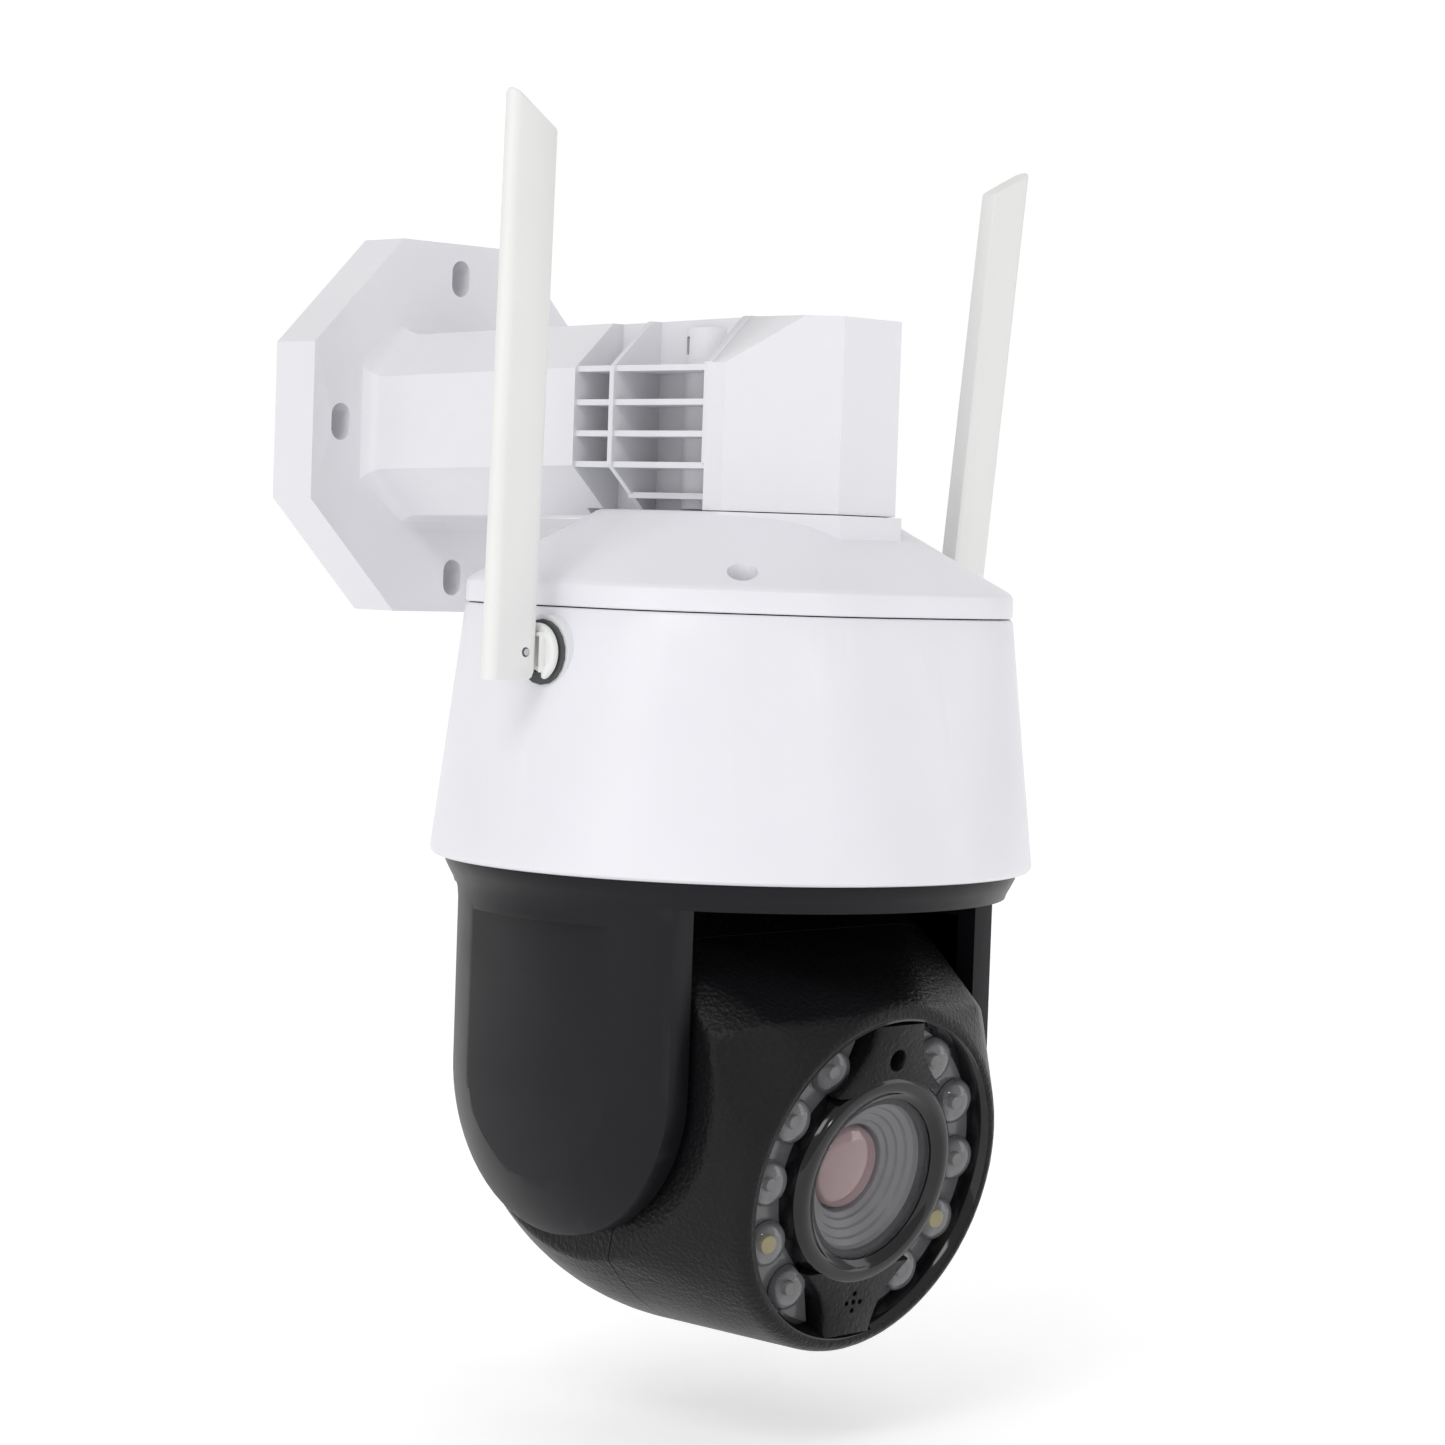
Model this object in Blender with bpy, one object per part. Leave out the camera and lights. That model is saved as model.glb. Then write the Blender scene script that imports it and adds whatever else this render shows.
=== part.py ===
"""Outdoor pan-tilt-zoom dome camera on an octagonal wall bracket, with its mechanics and optics.

Frame: origin at the centre of the wall plate's back face, +Y into the wall, +Z up, the arm runs
along -Y. The lens looks along -Y and a little down. All sizes in metres.
"""

from math import cos, pi, radians, sin, sqrt

import bmesh
import bpy
from mathutils import Matrix, Vector

MM = 0.001
GAP = 0.3 * MM

# Wall plate and arm
PLATE_HALF = 54.5 * MM
PLATE_THICK = 17.5 * MM
PLATE_EDGE = 1.5 * MM
OCTAGON_SHARE = 0.414
SLOT_OFFSET = 44.3 * MM
SLOT_WIDTH = 6.8 * MM
SLOT_HEIGHT = 10.7 * MM
ARM_HALF_WIDTH = 34.0 * MM
ARM_HALF_HEIGHT = 26.4 * MM
ARM_CHAMFER_X = 14.0 * MM
ARM_CHAMFER_Z = 13.0 * MM
ARM_RISE = 3.0 * MM
BLOCK_HALF_WIDTH = 32.0 * MM
BLOCK_NOSE_HALF = 11.2 * MM
BLOCK_BACK_Y = -154.5 * MM
BLOCK_CORNER_Y = -161.5 * MM
BLOCK_FRONT_Y = -184.5 * MM
BLOCK_TOP = 29.2 * MM
BLOCK_BOTTOM = -23.0 * MM
RECESS_BACK_Y = -104.0 * MM
RIB_Y = -117.5 * MM
RIB_THICK = 1.8 * MM
CORE_HALF = 15.0 * MM
SHELF_LEVELS = (14.2 * MM, 5.0 * MM, -3.5 * MM, -11.9 * MM)
LOW_SHELF = -20.0 * MM
CABLE_RADIUS = 6.5 * MM
CABLE_Z = -13.5 * MM

# Fixed body under the arm
AXIS_Y = -138.0 * MM
SEAM_Z = -49.4 * MM
SHOULDER_Z = -42.8 * MM
PLATEAU_Z = BLOCK_BOTTOM - GAP
PLATEAU_RADIUS = 38.0 * MM
BODY_FLAT = 71.5 * MM
BODY_DIAGONAL = 74.9 * MM
RIM_RADIUS = 83.0 * MM
RIM_Z = -118.5 * MM
WALL = 2.8 * MM
FLOOR_TOP = -109.0 * MM
FLOOR_THICK = 3.0 * MM
COVER_SCREW_RADIUS = 67.0 * MM
BODY_STEPS = 40
ROUNDING = 15.0

# Antennas
ANTENNA_Y = -140.5 * MM
ANTENNA_Z = -61.5 * MM
PIN_X = 83.4 * MM
BLADE_INNER_X = 79.9 * MM
BLADE_OUTER_X = 95.2 * MM
BLADE_THICK = 5.6 * MM
BLADE_BOTTOM = -68.9 * MM
BLADE_TOP_OUTER = 83.0 * MM
BLADE_TOP_INNER = 74.0 * MM
LEFT_LEAN = 1.0
RIGHT_LEAN = 6.5

# Yoke (turns about the vertical pan axis)
YOKE_RADIUS = 75.3 * MM
YOKE_SIDE_X = 70.4 * MM
YOKE_SIDE_TOP = -131.5 * MM
FLARE_RADIUS = 78.8 * MM
YOKE_TOP = -113.0 * MM
YOKE_ROOF = -126.0 * MM
ARM_HALF_DEPTH = 42.0 * MM
ARM_INNER_X = 55.4 * MM
TILT_Z = -174.0 * MM
HUB_RADIUS = 20.0 * MM

# Head (turns about the horizontal tilt axis)
TILT_DOWN = 11.0
HEAD_HALF_WIDTH = 53.0 * MM
BALL_RADIUS = 72.5 * MM
REAR_RADIUS = 46.5 * MM
FACE_Y = -196.8 * MM
FACE_Z = -199.7 * MM
RIM_OUTER = 49.6 * MM
RIM_INNER = 43.2 * MM
SHELL = 2.6 * MM
SPLIT_W = -42.0 * MM
LED_RING = 36.5 * MM
LED_ANGLES = (57.0, 29.5, 2.0, -25.5, -53.0)

# Gears
PAN_TEETH = 48
PAN_PINION_TEETH = 12
PAN_MODULE = 1.5 * MM
TILT_TEETH = 40
TILT_PINION_TEETH = 14
TILT_MODULE = 0.8 * MM

for old in list(bpy.data.objects):
    bpy.data.objects.remove(old, do_unlink=True)


# ---------------------------------------------------------------- materials
def material(name, colour, roughness, metallic=0.0, transmission=0.0):
    made = bpy.data.materials.new(name)
    made.use_nodes = True
    shader = made.node_tree.nodes["Principled BSDF"]
    shader.inputs["Base Color"].default_value = (*colour, 1.0)
    shader.inputs["Roughness"].default_value = roughness
    shader.inputs["Metallic"].default_value = metallic
    shader.inputs["Transmission Weight"].default_value = transmission
    made.diffuse_color = (*colour, 1.0)
    return made


WHITE = (0.84, 0.85, 0.88)
BLACK = (0.012, 0.012, 0.014)
STEEL = (0.55, 0.56, 0.58)


# ---------------------------------------------------------------- mesh helpers
def finish(name, bm, paint=None, smooth=False):
    """Turns a bmesh into an object; without paint it is a hidden helper shape."""
    bmesh.ops.recalc_face_normals(bm, faces=bm.faces)
    if bm.calc_volume(signed=True) < 0:
        bmesh.ops.reverse_faces(bm, faces=bm.faces)
    mesh = bpy.data.meshes.new(name)
    bm.to_mesh(mesh)
    bm.free()
    made = bpy.data.objects.new(name, mesh)
    bpy.context.scene.collection.objects.link(made)
    if paint is None:
        made.hide_render = True
        made.display_type = "WIRE"
    else:
        mesh.materials.append(paint)
        if smooth:
            mesh.shade_smooth()
    return made


def loft(rings, close_loop=False):
    """Skin through rings with equal point counts, capped at both ends or closed on itself."""
    bm = bmesh.new()
    made = [[bm.verts.new(point) for point in ring] for ring in rings]
    pairs = list(zip(made[:-1], made[1:]))
    if close_loop:
        pairs.append((made[-1], made[0]))
    for low, high in pairs:
        count = len(low)
        for i in range(count):
            j = (i + 1) % count
            bm.faces.new((low[i], low[j], high[j], high[i]))
    if not close_loop:
        bm.faces.new(made[0])
        bm.faces.new(made[-1])
    return bm


def lathe(profile, steps):
    """Turns a closed (radius, height) outline about Z. Points at radius 0 become poles."""
    bm = bmesh.new()
    columns = []
    for radius, height in profile:
        if radius < 1e-9:
            pole = bm.verts.new((0, 0, height))
            columns.append([pole] * steps)
            continue
        turn = [2 * pi * i / steps for i in range(steps)]
        columns.append([bm.verts.new((radius * cos(a), radius * sin(a), height)) for a in turn])
    for low, high in zip(columns, columns[1:] + columns[:1]):
        if low[0] is low[1] and high[0] is high[1]:
            continue
        for i in range(steps):
            j = (i + 1) % steps
            corners = []
            for vert in (low[i], low[j], high[j], high[i]):
                if vert not in corners:
                    corners.append(vert)
            bm.faces.new(corners)
    return bm


def box(x, y, z):
    """Box between the three (low, high) pairs."""
    bm = bmesh.new()
    bmesh.ops.create_cube(bm, size=1.0)
    for vert in bm.verts:
        vert.co.x = x[0] if vert.co.x < 0 else x[1]
        vert.co.y = y[0] if vert.co.y < 0 else y[1]
        vert.co.z = z[0] if vert.co.z < 0 else z[1]
    return bm


def rod(radius, low, high, steps=20):
    return lathe([(0, low), (radius, low), (radius, high), (0, high)], steps)


def tube(outer, inner, low, high, steps=32):
    return lathe([(inner, low), (outer, low), (outer, high), (inner, high)], steps)


def moved(bm, matrix):
    bmesh.ops.transform(bm, matrix=matrix, verts=bm.verts)
    return bm


def along_y(centre=(0, 0, 0)):
    return Matrix.Translation(centre) @ Matrix.Rotation(radians(-90), 4, "X")


def boolean(target, helper, operation="DIFFERENCE"):
    step = target.modifiers.new(helper.name, "BOOLEAN")
    step.operation = operation
    step.solver = "EXACT"
    step.object = helper
    helper.parent = target
    return target


def cut(target, *shapes):
    for number, bm in enumerate(shapes):
        boolean(target, finish(f"cut_{target.name}_{len(target.modifiers)}_{number}", bm))


def join(target, *shapes):
    for number, bm in enumerate(shapes):
        boolean(target, finish(f"add_{target.name}_{len(target.modifiers)}_{number}", bm), "UNION")


def clip(bm, point, normal):
    """Cuts a convex solid with a plane and keeps the side behind the normal."""
    geometry = bm.verts[:] + bm.edges[:] + bm.faces[:]
    sliced = bmesh.ops.bisect_plane(
        bm, geom=geometry, plane_co=point, plane_no=normal, clear_outer=True
    )
    rim = [item for item in sliced["geom_cut"] if isinstance(item, bmesh.types.BMEdge)]
    bmesh.ops.contextual_create(bm, geom=rim)
    return bm


def hull(points):
    bm = bmesh.new()
    for point in points:
        bm.verts.new(point)
    made = bmesh.ops.convex_hull(bm, input=bm.verts)
    spare = [v for v in bm.verts if not v.link_faces]
    spare += [v for v in made["geom_interior"] if isinstance(v, bmesh.types.BMVert) and v.is_valid]
    bmesh.ops.delete(bm, geom=list(set(spare)), context="VERTS")
    return bm


def circle(radius, height, steps, centre=(0.0, 0.0)):
    turn = [2 * pi * i / steps for i in range(steps)]
    return [(centre[0] + radius * cos(a), centre[1] + radius * sin(a), height) for a in turn]


def gear(teeth, module, low, high, phase=0.0):
    """Spur gear with trapezoid teeth about Z; phase in tooth pitches."""
    pitch = teeth * module / 2
    tip = pitch + 0.55 * module
    root = pitch - 0.95 * module
    shares = ((-0.30, root), (-0.14, tip), (0.14, tip), (0.30, root))
    outline = []
    for tooth in range(teeth):
        for share, radius in shares:
            angle = 2 * pi * (tooth + share + phase) / teeth
            outline.append((radius * cos(angle), radius * sin(angle)))
    return loft([[(x, y, z) for x, y in outline] for z in (low, high)])


PAN = Matrix.Translation((0, AXIS_Y, 0))
FACE = Matrix.Translation((0, FACE_Y, FACE_Z)) @ Matrix.Rotation(radians(90 + TILT_DOWN), 4, "X")
TILT_CENTRE = Vector((0, AXIS_Y, TILT_Z))

# ---------------------------------------------------------------- materials in use
white_plastic = material("white_plastic", WHITE, 0.35)
antenna_plastic = material("antenna_plastic", (0.86, 0.86, 0.85), 0.42)
black_plastic = material("black_plastic", BLACK, 0.42)
black_grain = material("black_grain", BLACK, 0.36)
dark_rubber = material("dark_rubber", (0.06, 0.065, 0.06), 0.7)
steel = material("steel", STEEL, 0.3, 1.0)
brass = material("brass", (0.72, 0.52, 0.22), 0.3, 1.0)
board_green = material("board_green", (0.02, 0.16, 0.07), 0.45)
board_white = material("board_white", (0.75, 0.75, 0.72), 0.5)
smoked = material("smoked_plastic", (0.12, 0.12, 0.13), 0.06, 0.0, 0.4)
clear_glass = material("clear_glass", (0.9, 0.92, 0.95), 0.03, 0.0, 0.9)
gear_plastic = material("gear_plastic", (0.8, 0.79, 0.74), 0.45)
aluminium = material("aluminium", (0.62, 0.63, 0.65), 0.35, 1.0)
chip_black = material("chip_black", (0.02, 0.02, 0.022), 0.5)


# ---------------------------------------------------------------- wall bracket
def octagon(half, y, share=OCTAGON_SHARE):
    short = half * share
    corners = [(short, half), (half, short), (half, -short), (short, -half)]
    corners += [(-x, z) for x, z in reversed(corners)]
    return [(x, y, z) for x, z in corners]


def arm_section(y, grow=0.0, width=None, shift=None):
    """Chamfered rectangle across the arm at this distance from the wall."""
    run = (-y - PLATE_THICK) / (-BLOCK_BACK_Y - PLATE_THICK)
    if width is None:
        width = ARM_HALF_WIDTH + (BLOCK_HALF_WIDTH - ARM_HALF_WIDTH) * run + grow
    centre = ARM_RISE * run
    high = ARM_HALF_HEIGHT + grow
    cx = ARM_CHAMFER_X
    cz = ARM_CHAMFER_Z
    corners = [(width - cx, high), (width, high - cz), (width, cz - high), (width - cx, -high)]
    corners += [(-x, z) for x, z in reversed(corners)]
    return [(x, y, z + centre) for x, z in corners]


def stadium(x, z, width, height, low, high, steps=8):
    """Upright slot through the plate, along Y."""
    radius = width / 2
    reach = height / 2 - radius
    outline = []
    for i in range(steps + 1):
        angle = pi * i / steps
        outline.append((x + radius * cos(angle), z + reach + radius * sin(angle)))
    for i in range(steps + 1):
        angle = pi + pi * i / steps
        outline.append((x + radius * cos(angle), z - reach + radius * sin(angle)))
    return loft([[(a, low, b) for a, b in outline], [(a, high, b) for a, b in outline]])


plate_front = -PLATE_THICK
bracket = finish(
    "wall_bracket",
    loft(
        [
            octagon(PLATE_HALF, 0.0),
            octagon(PLATE_HALF, plate_front + PLATE_EDGE),
            octagon(PLATE_HALF - 0.4 * PLATE_EDGE, plate_front + 0.4 * PLATE_EDGE),
            octagon(PLATE_HALF - PLATE_EDGE, plate_front),
        ]
    ),
    white_plastic,
)
join(
    bracket,
    loft(
        [
            arm_section(-8 * MM, 4.2 * MM),
            arm_section(plate_front, 4.2 * MM),
            arm_section(plate_front - 0.8 * MM, 2.2 * MM),
            arm_section(plate_front - 2.2 * MM, 0.7 * MM),
            arm_section(plate_front - 4.5 * MM, 0.0),
            arm_section(BLOCK_BACK_Y - 2 * MM, 0.0),
        ]
    ),
)
recess = [
    box((side * CORE_HALF, side * 60 * MM), (BLOCK_BACK_Y + 1 * MM, RECESS_BACK_Y), (-60 * MM, 60 * MM))
    for side in (-1, 1)
]
cut(bracket, *recess)
plan = [
    (BLOCK_HALF_WIDTH, BLOCK_BACK_Y),
    (BLOCK_HALF_WIDTH, BLOCK_CORNER_Y),
    (BLOCK_NOSE_HALF, BLOCK_FRONT_Y),
]
plan += [(-x, y) for x, y in reversed(plan)]
block = loft([[(x, y, z) for x, y in plan] for z in (BLOCK_BOTTOM - 2 * MM, BLOCK_TOP)])
for side in (-1, 1):
    clip(
        block,
        (side * BLOCK_HALF_WIDTH, 0, BLOCK_TOP - ARM_CHAMFER_Z),
        (side * ARM_CHAMFER_Z, 0, ARM_CHAMFER_X),
    )
join(bracket, block)
join(bracket, loft([arm_section(RIB_Y), arm_section(RIB_Y - RIB_THICK)]))
for level in SHELF_LEVELS:
    reach = 31.6 * MM
    join(
        bracket,
        box((-reach, reach), (BLOCK_BACK_Y - 1 * MM, RECESS_BACK_Y + 1 * MM), (level, level + RIB_THICK)),
    )
join(
    bracket,
    box((-24 * MM, 24 * MM), (BLOCK_BACK_Y - 1 * MM, RIB_Y), (LOW_SHELF, LOW_SHELF + RIB_THICK)),
)
for side in (-1, 1):
    column = rod(8.5 * MM, -22.6 * MM, 26.6 * MM, 24)
    join(bracket, moved(column, Matrix.Translation((side * 11 * MM, -137.0 * MM, 0))))
cut(bracket, box((-50 * MM, 50 * MM), (-200 * MM, -97.5 * MM), (-60 * MM, BLOCK_BOTTOM)))
slots = [(-SLOT_OFFSET, 0), (SLOT_OFFSET, 0), (0, SLOT_OFFSET), (0, -SLOT_OFFSET)]
for x, z in slots:
    cut(bracket, stadium(x, z, SLOT_WIDTH, SLOT_HEIGHT, 5 * MM, -30 * MM))
cut(bracket, moved(rod(CABLE_RADIUS, -145 * MM, 5 * MM, 20), along_y((0, 0, CABLE_Z))))
cut(bracket, moved(rod(CABLE_RADIUS - 0.2 * MM, -40 * MM, CABLE_Z, 20), PAN))
bolts = [(-11.5 * MM, -112 * MM), (11.5 * MM, -112 * MM), (0.0, -166 * MM)]
for x, y in bolts:
    cut(bracket, moved(rod(2.2 * MM, -30 * MM, -8 * MM, 12), Matrix.Translation((x, y, 0))))


# ---------------------------------------------------------------- top cover
def body_ring(flat, diagonal, z, roundness=0.0, round_radius=RIM_RADIUS):
    """Octagon with softened corners, blended towards a circle by roundness."""
    points = []
    for i in range(BODY_STEPS):
        angle = 2 * pi * i / BODY_STEPS
        total = 0.0
        for k in range(4):
            size = flat if k % 2 == 0 else diagonal
            total += (abs(cos(angle - k * pi / 4)) / size) ** ROUNDING
        radius = total ** (-1 / ROUNDING)
        radius += (round_radius - radius) * roundness
        points.append((radius * cos(angle), AXIS_Y + radius * sin(angle), z))
    return points


top_cover = finish(
    "top_cover",
    loft(
        [
            body_ring(BODY_FLAT, BODY_DIAGONAL, SEAM_Z),
            body_ring(BODY_FLAT, BODY_DIAGONAL, SHOULDER_Z - 0.8 * MM),
            body_ring(BODY_FLAT - 1.6 * MM, BODY_DIAGONAL - 1.6 * MM, SHOULDER_Z + 0.6 * MM),
            body_ring(PLATEAU_RADIUS, PLATEAU_RADIUS * 1.04, PLATEAU_Z),
        ]
    ),
    white_plastic,
)
plinth = [
    (BLOCK_HALF_WIDTH + 1.4 * MM, -132 * MM),
    (BLOCK_HALF_WIDTH + 1.4 * MM, BLOCK_CORNER_Y - 0.6 * MM),
    (BLOCK_NOSE_HALF + 0.8 * MM, BLOCK_FRONT_Y - 1.6 * MM),
]
plinth += [(-x, y) for x, y in reversed(plinth)]
join(top_cover, loft([[(x, y, z) for x, y in plinth] for z in (-45 * MM, PLATEAU_Z)]))
cut(
    top_cover,
    loft(
        [
            body_ring(BODY_FLAT - WALL, BODY_DIAGONAL - WALL, SEAM_Z - 5 * MM),
            body_ring(BODY_FLAT - WALL, BODY_DIAGONAL - WALL, SHOULDER_Z - 3.2 * MM),
            body_ring(PLATEAU_RADIUS - 2 * MM, PLATEAU_RADIUS, PLATEAU_Z - 4 * MM),
        ]
    ),
)
reach = COVER_SCREW_RADIUS / sqrt(2)
diagonals = [(sx * reach, sy * reach) for sx in (-1, 1) for sy in (-1, 1)]
for x, y in diagonals:
    place = Matrix.Translation((x, AXIS_Y + y, 0))
    join(top_cover, moved(rod(5.2 * MM, SEAM_Z, -41.5 * MM), place))
for x, y in diagonals:
    place = Matrix.Translation((x, AXIS_Y + y, 0))
    cut(top_cover, moved(rod(4.0 * MM, -44.5 * MM, -25 * MM), place))
    cut(top_cover, moved(rod(1.9 * MM, -60 * MM, -43 * MM, 12), place))
cut(top_cover, moved(rod(CABLE_RADIUS, -40 * MM, -15 * MM, 16), PAN))
for x, y in bolts:
    cut(top_cover, moved(rod(2.2 * MM, -40 * MM, -15 * MM, 12), Matrix.Translation((x, y, 0))))

cover_seal = finish(
    "cover_seal",
    loft(
        [
            body_ring(BODY_FLAT - 4.2 * MM, BODY_DIAGONAL - 4.2 * MM, -53.0 * MM),
            body_ring(BODY_FLAT - 3.1 * MM, BODY_DIAGONAL - 3.1 * MM, -53.0 * MM),
            body_ring(BODY_FLAT - 3.1 * MM, BODY_DIAGONAL - 3.1 * MM, SEAM_Z - 0.4 * MM),
            body_ring(BODY_FLAT - 4.2 * MM, BODY_DIAGONAL - 4.2 * MM, SEAM_Z - 0.4 * MM),
        ],
        close_loop=True,
    ),
    dark_rubber,
)


# ---------------------------------------------------------------- screws
def screw(name, place, head_radius, head_high, shank_radius, length, paint, slot=True):
    """Pan-head screw with its head's underside at the local origin, pointing down."""
    made = finish(
        name,
        lathe(
            [
                (0, -length),
                (shank_radius * 0.5, -length),
                (shank_radius, -length + shank_radius),
                (shank_radius, 0),
                (head_radius, 0),
                (head_radius, head_high * 0.55),
                (head_radius * 0.7, head_high),
                (0, head_high),
            ],
            12,
        ),
        paint,
    )
    if slot:
        arm = head_radius * 0.6
        thin = head_radius * 0.14
        low = head_high * 0.45
        cut(made, box((-arm, arm), (-thin, thin), (low, head_high * 2)))
        cut(made, box((-thin, thin), (-arm, arm), (low, head_high * 2)))
    made.matrix_world = place
    return made


for number, (x, y) in enumerate(diagonals, 1):
    seat = Matrix.Translation((x, AXIS_Y + y, -44.2 * MM))
    screw(f"cover_screw_{number}", seat, 3.5 * MM, 2.4 * MM, 1.5 * MM, 15 * MM, steel)
for number, (x, y) in enumerate(bolts, 1):
    seat = Matrix.Translation((x, y, -27.7 * MM)) @ Matrix.Rotation(pi, 4, "X")
    screw(f"bracket_bolt_{number}", seat, 3.6 * MM, 2.8 * MM, 1.9 * MM, 17 * MM, steel, False)

cable_sleeve = finish(
    "cable_sleeve",
    lathe(
        [
            (4.3 * MM, -29.4 * MM),
            (9.0 * MM, -29.4 * MM),
            (9.0 * MM, -27.8 * MM),
            (6.0 * MM, -27.8 * MM),
            (6.0 * MM, -20.5 * MM),
            (4.3 * MM, -20.5 * MM),
        ],
        18,
    ),
    dark_rubber,
)
cable_sleeve.matrix_world = PAN


# ---------------------------------------------------------------- housing
def housing_ring(z, inset=0.0):
    share = (SEAM_Z - z) / (SEAM_Z - RIM_Z)
    return body_ring(BODY_FLAT - inset, BODY_DIAGONAL - inset, z, share, RIM_RADIUS - inset)


housing = finish(
    "housing",
    loft(
        [
            housing_ring(SEAM_Z - GAP - 0.5 * MM, 0.5 * MM),
            housing_ring(SEAM_Z - 1.6 * MM),
            housing_ring(-82 * MM),
            housing_ring(RIM_Z + 2.4 * MM),
            housing_ring(RIM_Z + 0.8 * MM, 0.5 * MM),
            housing_ring(RIM_Z, 1.7 * MM),
        ]
    ),
    white_plastic,
)
cut(
    housing,
    loft(
        [
            housing_ring(SEAM_Z + 3 * MM, WALL),
            housing_ring(-82 * MM, WALL),
            housing_ring(FLOOR_TOP, WALL),
        ]
    ),
    moved(rod(79.9 * MM, -130 * MM, FLOOR_TOP - FLOOR_THICK, 36), PAN),
    moved(rod(24 * MM, -130 * MM, -100 * MM, 24), PAN),
)
for side in (-1, 1):
    pad = rod(9.6 * MM, 69.2 * MM, 74.6 * MM, 22)
    turn = Matrix.Rotation(0 if side > 0 else pi, 4, "Z") @ Matrix.Rotation(radians(90), 4, "Y")
    place = Matrix.Translation((0, ANTENNA_Y, ANTENNA_Z)) @ turn
    join(housing, moved(pad, place))
    cut(housing, moved(rod(5.5 * MM, 60 * MM, 80 * MM, 18), place))
posts = [(x, y, 5.2 * MM, -53.3 * MM) for x, y in diagonals]
posts += [(sx * 42 * MM, sy * 20 * MM, 3 * MM, -75.3 * MM) for sx in (-1, 1) for sy in (-1, 1)]
posts += [(sx * 17 * MM, -44.4 * MM, 2.6 * MM, -96.3 * MM) for sx in (-1, 1)]
for x, y, radius, top in posts:
    place = Matrix.Translation((x, AXIS_Y + y, 0))
    join(housing, moved(rod(radius, FLOOR_TOP - 1.5 * MM, top, 12), place))
for x, y in diagonals:
    place = Matrix.Translation((x, AXIS_Y + y, 0))
    cut(housing, moved(rod(1.8 * MM, -62 * MM, -40 * MM, 12), place))

main_board = finish("main_board", rod(58 * MM, -75 * MM, -73.4 * MM, 40), board_green)
parts_on_board = [
    ((-20, 4), (-16, 10), (-74, -70.5)),
    ((12, 30), (-6, 14), (-74, -69)),
    ((-44, -30), (-10, 12), (-74, -66)),
    ((-8, 14), (24, 40), (-74, -68)),
    ((34, 48), (-8, 6), (-74, -71)),
]
for spans in parts_on_board:
    join(main_board, box(*[(low * MM, high * MM) for low, high in spans]))
for x, y in ((-30, 30), (28, 28), (-10, -36)):
    join(main_board, moved(rod(4.5 * MM, -74 * MM, -62 * MM, 16), Matrix.Translation((x * MM, y * MM, 0))))
for x, y in ((-42, -20), (42, -20), (-42, 20), (42, 20)):
    cut(main_board, moved(rod(1.6 * MM, -80 * MM, -60 * MM, 10), Matrix.Translation((x * MM, y * MM, 0))))
main_board.matrix_world = PAN


# ---------------------------------------------------------------- pan drive
def ring(name, outer, inner, low, high, paint, place=PAN, steps=36):
    made = finish(name, tube(outer, inner, low, high, steps), paint)
    made.matrix_world = place
    return made


ring("pan_bearing", 30 * MM, HUB_RADIUS + GAP, -108.7 * MM, -102.7 * MM, steel)
pan_gear = finish(
    "pan_gear", gear(PAN_TEETH, PAN_MODULE, -102.2 * MM, -98.2 * MM), gear_plastic
)
cut(pan_gear, rod(HUB_RADIUS + GAP, -110 * MM, -90 * MM, 24))
pan_gear.matrix_world = PAN
ring("pan_nut", 26 * MM, HUB_RADIUS + GAP, -97.9 * MM, -94.6 * MM, brass)
PAN_DRIVE_Y = AXIS_Y - (PAN_TEETH + PAN_PINION_TEETH) * PAN_MODULE / 2 - 0.4 * MM
drive = Matrix.Translation((0, PAN_DRIVE_Y, 0))
pan_pinion = finish(
    "pan_pinion",
    gear(PAN_PINION_TEETH, PAN_MODULE, -102.4 * MM, -98.0 * MM, 0.5),
    brass,
)
join(pan_pinion, rod(1.5 * MM, -103.4 * MM, -92 * MM, 12))
pan_pinion.matrix_world = drive
pan_motor = finish("pan_motor", rod(12 * MM, -96 * MM, -80 * MM, 24), steel)
join(pan_motor, box((-21 * MM, 21 * MM), (-3.5 * MM, 3.5 * MM), (-95.9 * MM, -94 * MM)))
cut(pan_motor, rod(1.9 * MM, -98 * MM, -91.5 * MM, 12))
pan_motor.matrix_world = drive

slip_ring = finish(
    "slip_ring",
    lathe(
        [
            (0, -117 * MM),
            (9.6 * MM, -117 * MM),
            (9.6 * MM, -93.7 * MM),
            (13 * MM, -93.7 * MM),
            (13 * MM, -91.5 * MM),
            (4 * MM, -91.5 * MM),
            (4 * MM, -88 * MM),
            (0, -88 * MM),
        ],
        18,
    ),
    chip_black,
)
slip_ring.matrix_world = PAN


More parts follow.
